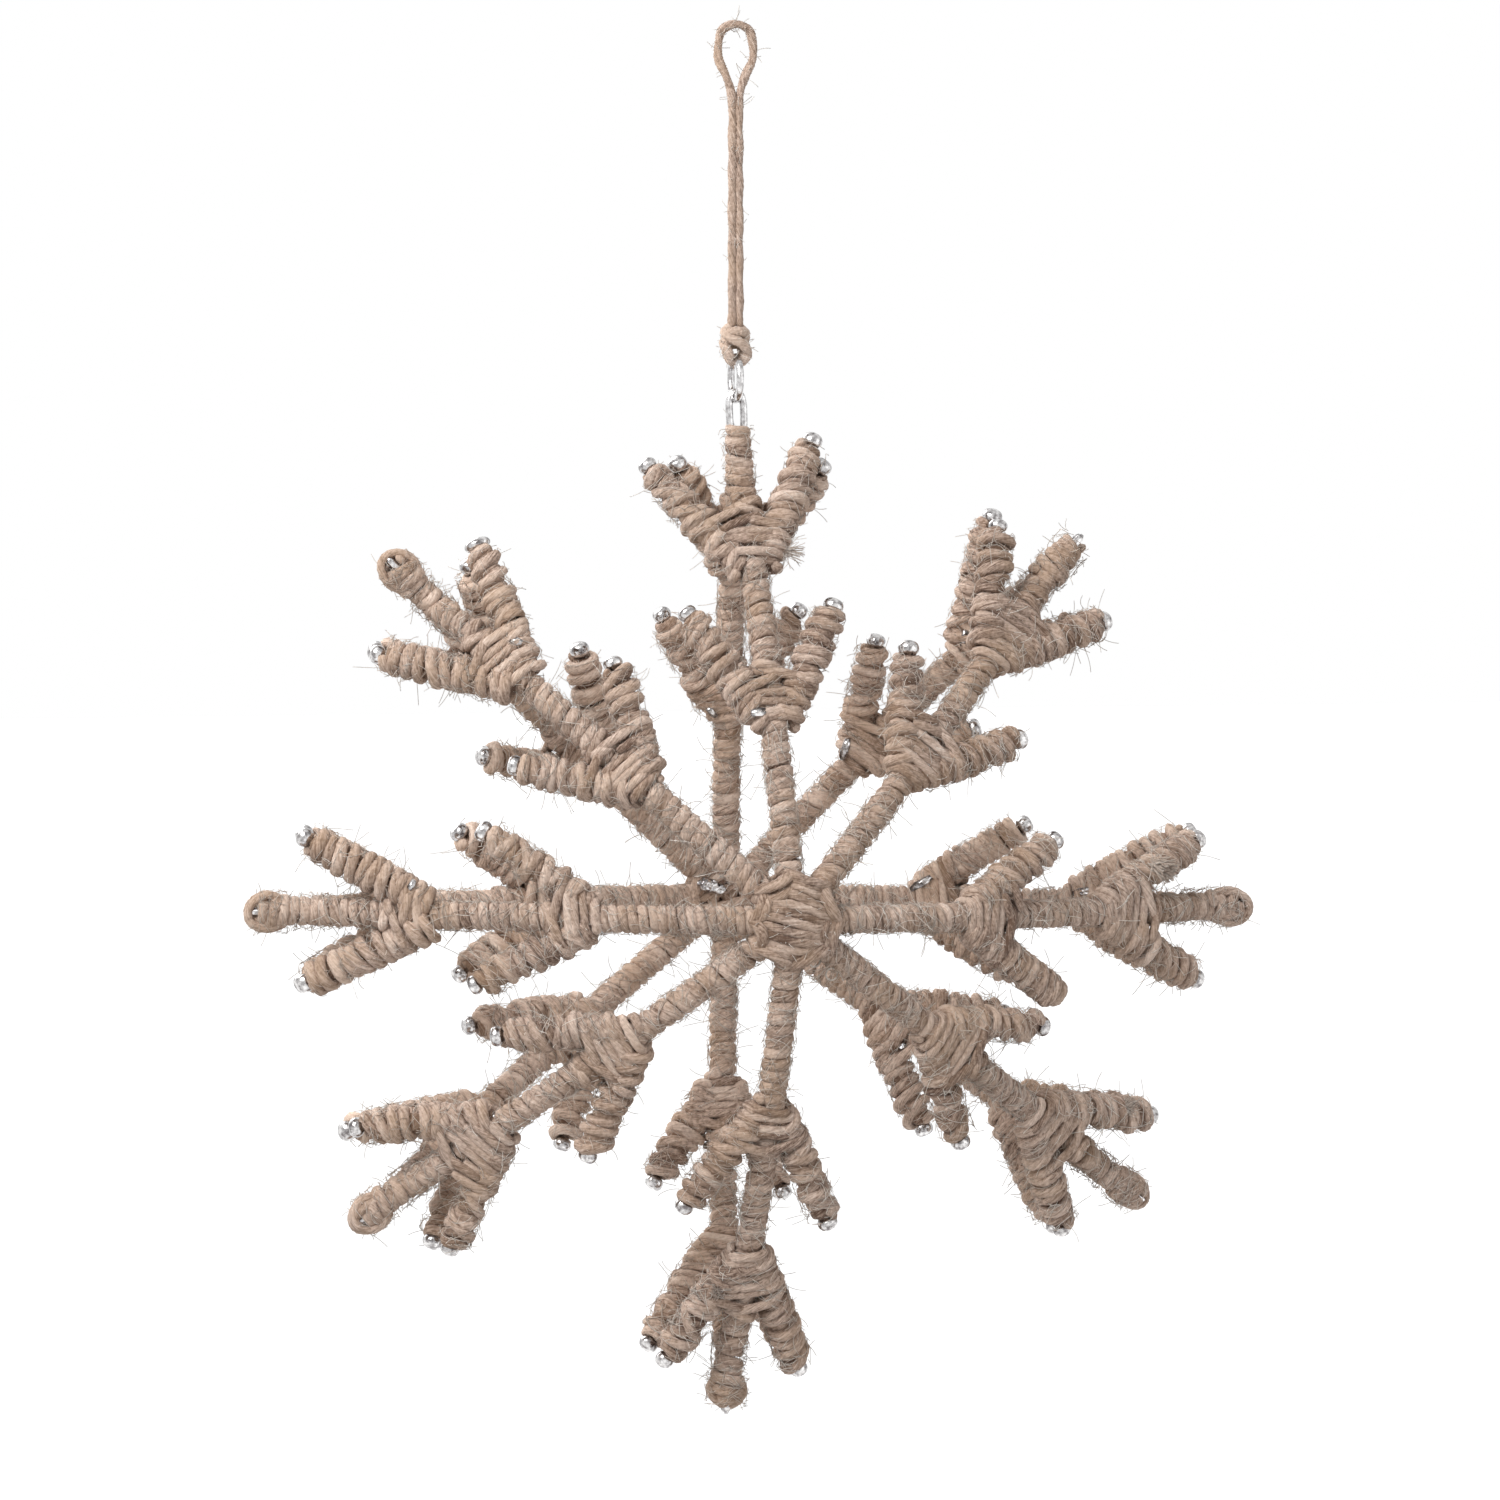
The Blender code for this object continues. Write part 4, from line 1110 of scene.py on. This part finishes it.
def twine_of_collar():
    """The wrap over the north tip, round both spokes and the eye's shank."""
    rng = np.random.default_rng(90)
    weave = Weave()
    start = wrap_end("n") - 1.5 * MM
    shape = ((2.55, 0.75), (4.6, 2.8, 0.0, 0.5), 1.15 * MM, 0.7 * MM)
    oval_turns(weave, rng, start, COLLAR_END - 0.6 * MM, 2.0 * MM, *shape, 0.0)
    tip = Rod(None, "n")
    hairs(weave, rng, tip, start, COLLAR_END, 2.7 * MM, 60, 5.0 * MM)
    lying_hairs(weave, rng, tip, start, COLLAR_END - 1 * MM, 3.1 * MM, 60)
    show("twine_collar", weave, JUTE["front"], "snowflake", "twine", "tip_collar_n", arm="n")


def smooth_line(through, count):
    """A smooth curve through the given points, with that many steps between two."""
    through = np.asarray(through, float)
    through = np.concatenate((through[:1], through, through[-1:]))
    t = np.arange(count)[:, None] / count
    points = []
    for a, b, c, d in zip(through, through[1:], through[2:], through[3:]):
        bend = (2 * a - 5 * b + 4 * c - d) * t**2 + (3 * b - a - 3 * c + d) * t**3
        points.append(0.5 * (2 * b + (c - a) * t + bend))
    return np.concatenate([*points, through[-1:]])


# One leg of the eye from the collar to the crown: along the arm and beside it, in mm.
EYE_LEG = ((93.2, 0.9), (95.2, 1.25), (97.0, 1.4), (99.0, 1.45), (101.0, 1.42), (102.6, 1.0))
EYE_MIDDLE = 98.0 * MM


def iron_eye():
    """The narrow eye, whose two legs run down into the collar beside the spokes."""
    metal = Metal()
    one = [(along * MM, 0.0, half * MM) for along, half in EYE_LEG]
    two = [(along, 0.0, -half) for along, _, half in reversed(one)]
    points = smooth_line([*one, (EYE_CROWN_AT, 0.0, 0.0), *two], 8)
    metal.sweep(points, EYE_WIRE, sides=18, outs=points - np.array((EYE_MIDDLE, 0.0, 0.0)))
    show("iron_eye", metal, WIRE, "snowflake", "iron", "hanging_eye", arm="n")


def iron_ring():
    """The jump ring, a round wire closed with a fine seam."""
    metal = Metal()
    angle = np.linspace(0, TURN, 72, endpoint=False)
    centre = np.array((0.0, 0.0, RING_TOP - RING_RADIUS))
    points = centre + RING_RADIUS * joined(0 * angle, np.sin(angle), np.cos(angle))
    radii = np.full(len(angle), RING_WIRE)
    radii[SEAM_AT] = 0.84 * RING_WIRE
    metal.sweep(points, radii, outs=points - centre, closed=True)
    show("iron_ring", metal, WIRE, "ring", "iron", "jump_ring")


# One strand of the hanger from its foot to the loop's top, half of the whole route, in mm.
HANGER_HALF = (
    (0.74, -59.25),
    (0.68, -47.5),
    (0.7, -35.75),
    (0.68, -24.0),
    (0.74, -14.13),
    (1.9, -9.65),
    (3.534, -5.75),
    (3.116, -1.2),
    (1.71, 0.295),
)


def twine_hanger():
    """The doubled hanger, one strand of two plies up to its loop and down again."""
    up = [(-x * MM, 0.0, z * MM) for x, z in HANGER_HALF]
    down = [(x * MM, 0.0, z * MM) for x, z in reversed(HANGER_HALF)]
    line = smooth_line([*up, (0.0, 0.0, 0.75 * MM), *down], 22)
    weave = Weave()
    rng = np.random.default_rng(95)
    weave.add(line, level_outs(line), 0.83 * MM, 0.8 * MM, 0.0, sides=20, ply=0.12)
    piece = show("twine_hanger", weave, JUTE["front"], "hanger", "twine", "hanger_twine")
    fuzz = Weave()
    for k in rng.integers(4, len(line) - 5, 110):
        out = unit(rng.normal(size=3))
        stray(fuzz, rng, line[k] + out * 0.55 * MM, out, 0.5, 3.4)
    show("twine_hanger_fuzz", fuzz, JUTE["front"], "hanger", "twine")


# The knot's visible strands, as points in mm from its middle.
KNOT = (
    ((-1.1, 0.6, 3.6), (-2.3, -0.6, 2.4), (-1.6, -1.9, 1.3), (0.3, -2.3, 0.5))
    + ((2.0, -1.6, -0.7), (2.4, 0.0, -1.9), (1.5, 1.2, -2.6)),
    ((0.9, 0.5, 3.4), (2.2, 0.9, 2.1), (1.9, 1.8, 0.6), (0.0, 2.3, 0.2))
    + ((-1.9, 1.5, 0.4), (-2.4, 0.0, 0.7), (-1.5, -1.4, 0.6)),
    ((-1.9, 0.9, 1.2), (-2.4, -0.4, 0.0), (-1.9, -1.5, -1.1), (-1.3, -1.4, -2.3))
    + ((-0.9, 0.1, -3.0), (-1.2, 1.4, -2.2), (-1.6, 1.8, -0.8)),
    ((1.5, -1.1, 2.3), (0.4, -1.9, 2.5), (-1.0, -1.6, 2.4), (-2.0, -0.3, 1.8))
    + ((-1.5, 1.2, 2.0), (0.3, 1.7, 2.5), (1.7, 0.7, 2.6)),
    ((1.2, -1.2, 1.0), (1.9, -1.3, -0.3), (2.2, -0.9, -1.6), (1.5, -0.6, -2.7))
    + ((1.1, 0.6, -2.9), (1.7, 1.5, -1.4), (1.4, 1.7, 0.2)),
)
KNOT_SCALE = (0.98 * MM, 0.98 * MM, 1.08 * MM)


def twine_knot():
    """The hanger's overhand knot on the ring."""
    weave = Weave()
    rng = np.random.default_rng(97)
    centre = np.array((0.0, 0.0, RING_TOP + KNOT_ABOVE_RING))
    for strand in KNOT:
        line = centre + smooth_line(strand, 14) * KNOT_SCALE
        tone = 0.09 + wander(rng, np.arange(len(line)), 40.0, 0.04)
        weave.add(line, line - centre, 0.95 * MM, 0.9 * MM, tone, ply=0.09)
    for _ in range(50):
        out = unit(rng.normal(size=3))
        stray(weave, rng, centre + out * 2.6 * MM, out, 0.6, 3.0)
    show("twine_knot", weave, JUTE["front"], "hanger", "twine", "hanger_knot")


def dress_hub_iron():
    for layer in LAYERS:
        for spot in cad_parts[f"{layer}_iron_hub"].material_slots:
            spot.material = IRON


# The camera stands to the left of the ornament and a little above it.
CAMERA_YAW = math.radians(12.5)
CAMERA_PITCH = math.radians(3.2)
CAMERA_DISTANCE = 1.3
SENSOR = 36.0
FIELD = 0.3
CENTRE_RIGHT = -1.72 * MM
CENTRE_UP = 31.76 * MM
WHITE = (1.0, 1.0, 1.0, 1.0)
FLOOR_GREY = (0.68, 0.68, 0.68, 1.0)
FLOOR_HALF = 12.0
FLOOR_HEIGHT = -0.75
# How bright the studio is from its dark side to its bright one, which is up and behind.
STUDIO_SHADES = ((0.12, (0.30, 0.30, 0.31)), (0.5, (0.62, 0.62, 0.62)), (0.8, (1.0, 1.0, 1.0)))


def add_camera():
    yaw_cosine, yaw_sine = math.cos(CAMERA_YAW), math.sin(CAMERA_YAW)
    level = math.cos(CAMERA_PITCH)
    look = np.array((yaw_sine * level, yaw_cosine * level, -math.sin(CAMERA_PITCH)))
    right = np.array((yaw_cosine, -yaw_sine, 0.0))
    up = np.cross(right, look)
    target = MIDDLE + right * CENTRE_RIGHT + up * CENTRE_UP
    data = bpy.data.cameras.new("camera")
    data.sensor_width = SENSOR
    data.lens = SENSOR * CAMERA_DISTANCE / FIELD
    data.clip_start = 0.05
    data.clip_end = 50.0
    camera = new_object("camera", data)
    matrix = np.eye(4)
    matrix[:3] = joined(right, up, -look, target - look * CAMERA_DISTANCE)
    camera.matrix_world = Matrix(matrix.tolist())
    bpy.context.scene.camera = camera


def add_light(name, place, size, power):
    """A square soft lamp that faces the ornament's middle."""
    data = bpy.data.lights.new(name, "AREA")
    data.shape = "SQUARE"
    data.size = size
    data.energy = power
    lamp = new_object(name, data)
    lamp.location = place
    lamp.rotation_euler = (Vector(MIDDLE) - Vector(place)).to_track_quat("-Z", "Y").to_euler()


def sight_rays(tree):
    """One where the backdrop is seen, by the camera itself or in metal, and else nothing."""
    rays = new_node(tree, "LightPath").outputs
    direct = math_node(tree, "MAXIMUM", rays["Is Camera Ray"], rays["Is Transmission Ray"])
    return math_node(tree, "MAXIMUM", direct, rays["Is Glossy Ray"])


def add_stage():
    """White all round: a pale floor far below, and a world that is white to the camera."""
    world = bpy.data.worlds.new("studio")
    bpy.context.scene.world = world
    world.use_nodes = True
    tree = world.node_tree
    tree.nodes.clear()
    output = new_node(tree, "OutputWorld")
    split = new_node(tree, "SeparateXYZ")
    link(tree, new_node(tree, "TexCoord").outputs["Generated"], split.inputs["Vector"])
    x, y, z = split.outputs
    side = math_node(tree, "ADD", sum_node(tree, (y, 0.275), (z, 0.225), (x, -0.125)), 0.5)
    studio = new_node(tree, "Background")
    link(tree, ramp_node(tree, side, STUDIO_SHADES), studio.inputs["Color"])
    white = new_node(tree, "Background")
    fill(white, {"Color": WHITE})
    mix = new_node(tree, "MixShader")
    link(tree, sight_rays(tree), mix.inputs["Fac"])
    link(tree, studio.outputs["Background"], mix.inputs[1])
    link(tree, white.outputs["Background"], mix.inputs[2])
    link(tree, mix.outputs["Shader"], output.inputs["Surface"])

    mesh = bpy.data.meshes.new("floor")
    ways = ((-1, -1), (1, -1), (1, 1), (-1, 1))
    corners = [(x * FLOOR_HALF, y * FLOOR_HALF, FLOOR_HEIGHT) for x, y in ways]
    mesh.from_pydata(corners, [], [(0, 1, 2, 3)])
    floor = new_object("floor", mesh)
    material, tree, shader = material_with_nodes("pale_floor")
    fill(shader, {"Base Color": FLOOR_GREY, "Roughness": 0.9, "Emission Color": WHITE})
    link(tree, math_node(tree, "MULTIPLY", sight_rays(tree), 0.6), shader.inputs["Emission Strength"])
    mesh.materials.append(material)
    floor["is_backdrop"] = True


bpy.context.scene.view_settings.view_transform = "Standard"
add_camera()
add_stage()
add_light("key", (-0.38, -0.30, 0.22), 0.35, 3.3)
add_light("rim", (-0.5, 0.9, 0.5), 0.8, 8.0)
add_light("fill", (1.0, -0.9, 0.0), 0.9, 2.0)
twine_hanger()
twine_knot()
iron_ring()
iron_eye()
twine_of_collar()
dress_hub_iron()
for layer_name in LAYERS:
    twine_of_hub(layer_name)
    for arm_name in ARMS:
        iron_of_arm(layer_name, arm_name)
        twine_of_arm(layer_name, arm_name)
for arm_name in ARMS:
    if arm_name != "n":
        twine_of_tip(arm_name)

boxes = {"cad": CAD_BOX, "visual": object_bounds()}
{key: [list(corner) for corner in box] for key, box in boxes.items()}
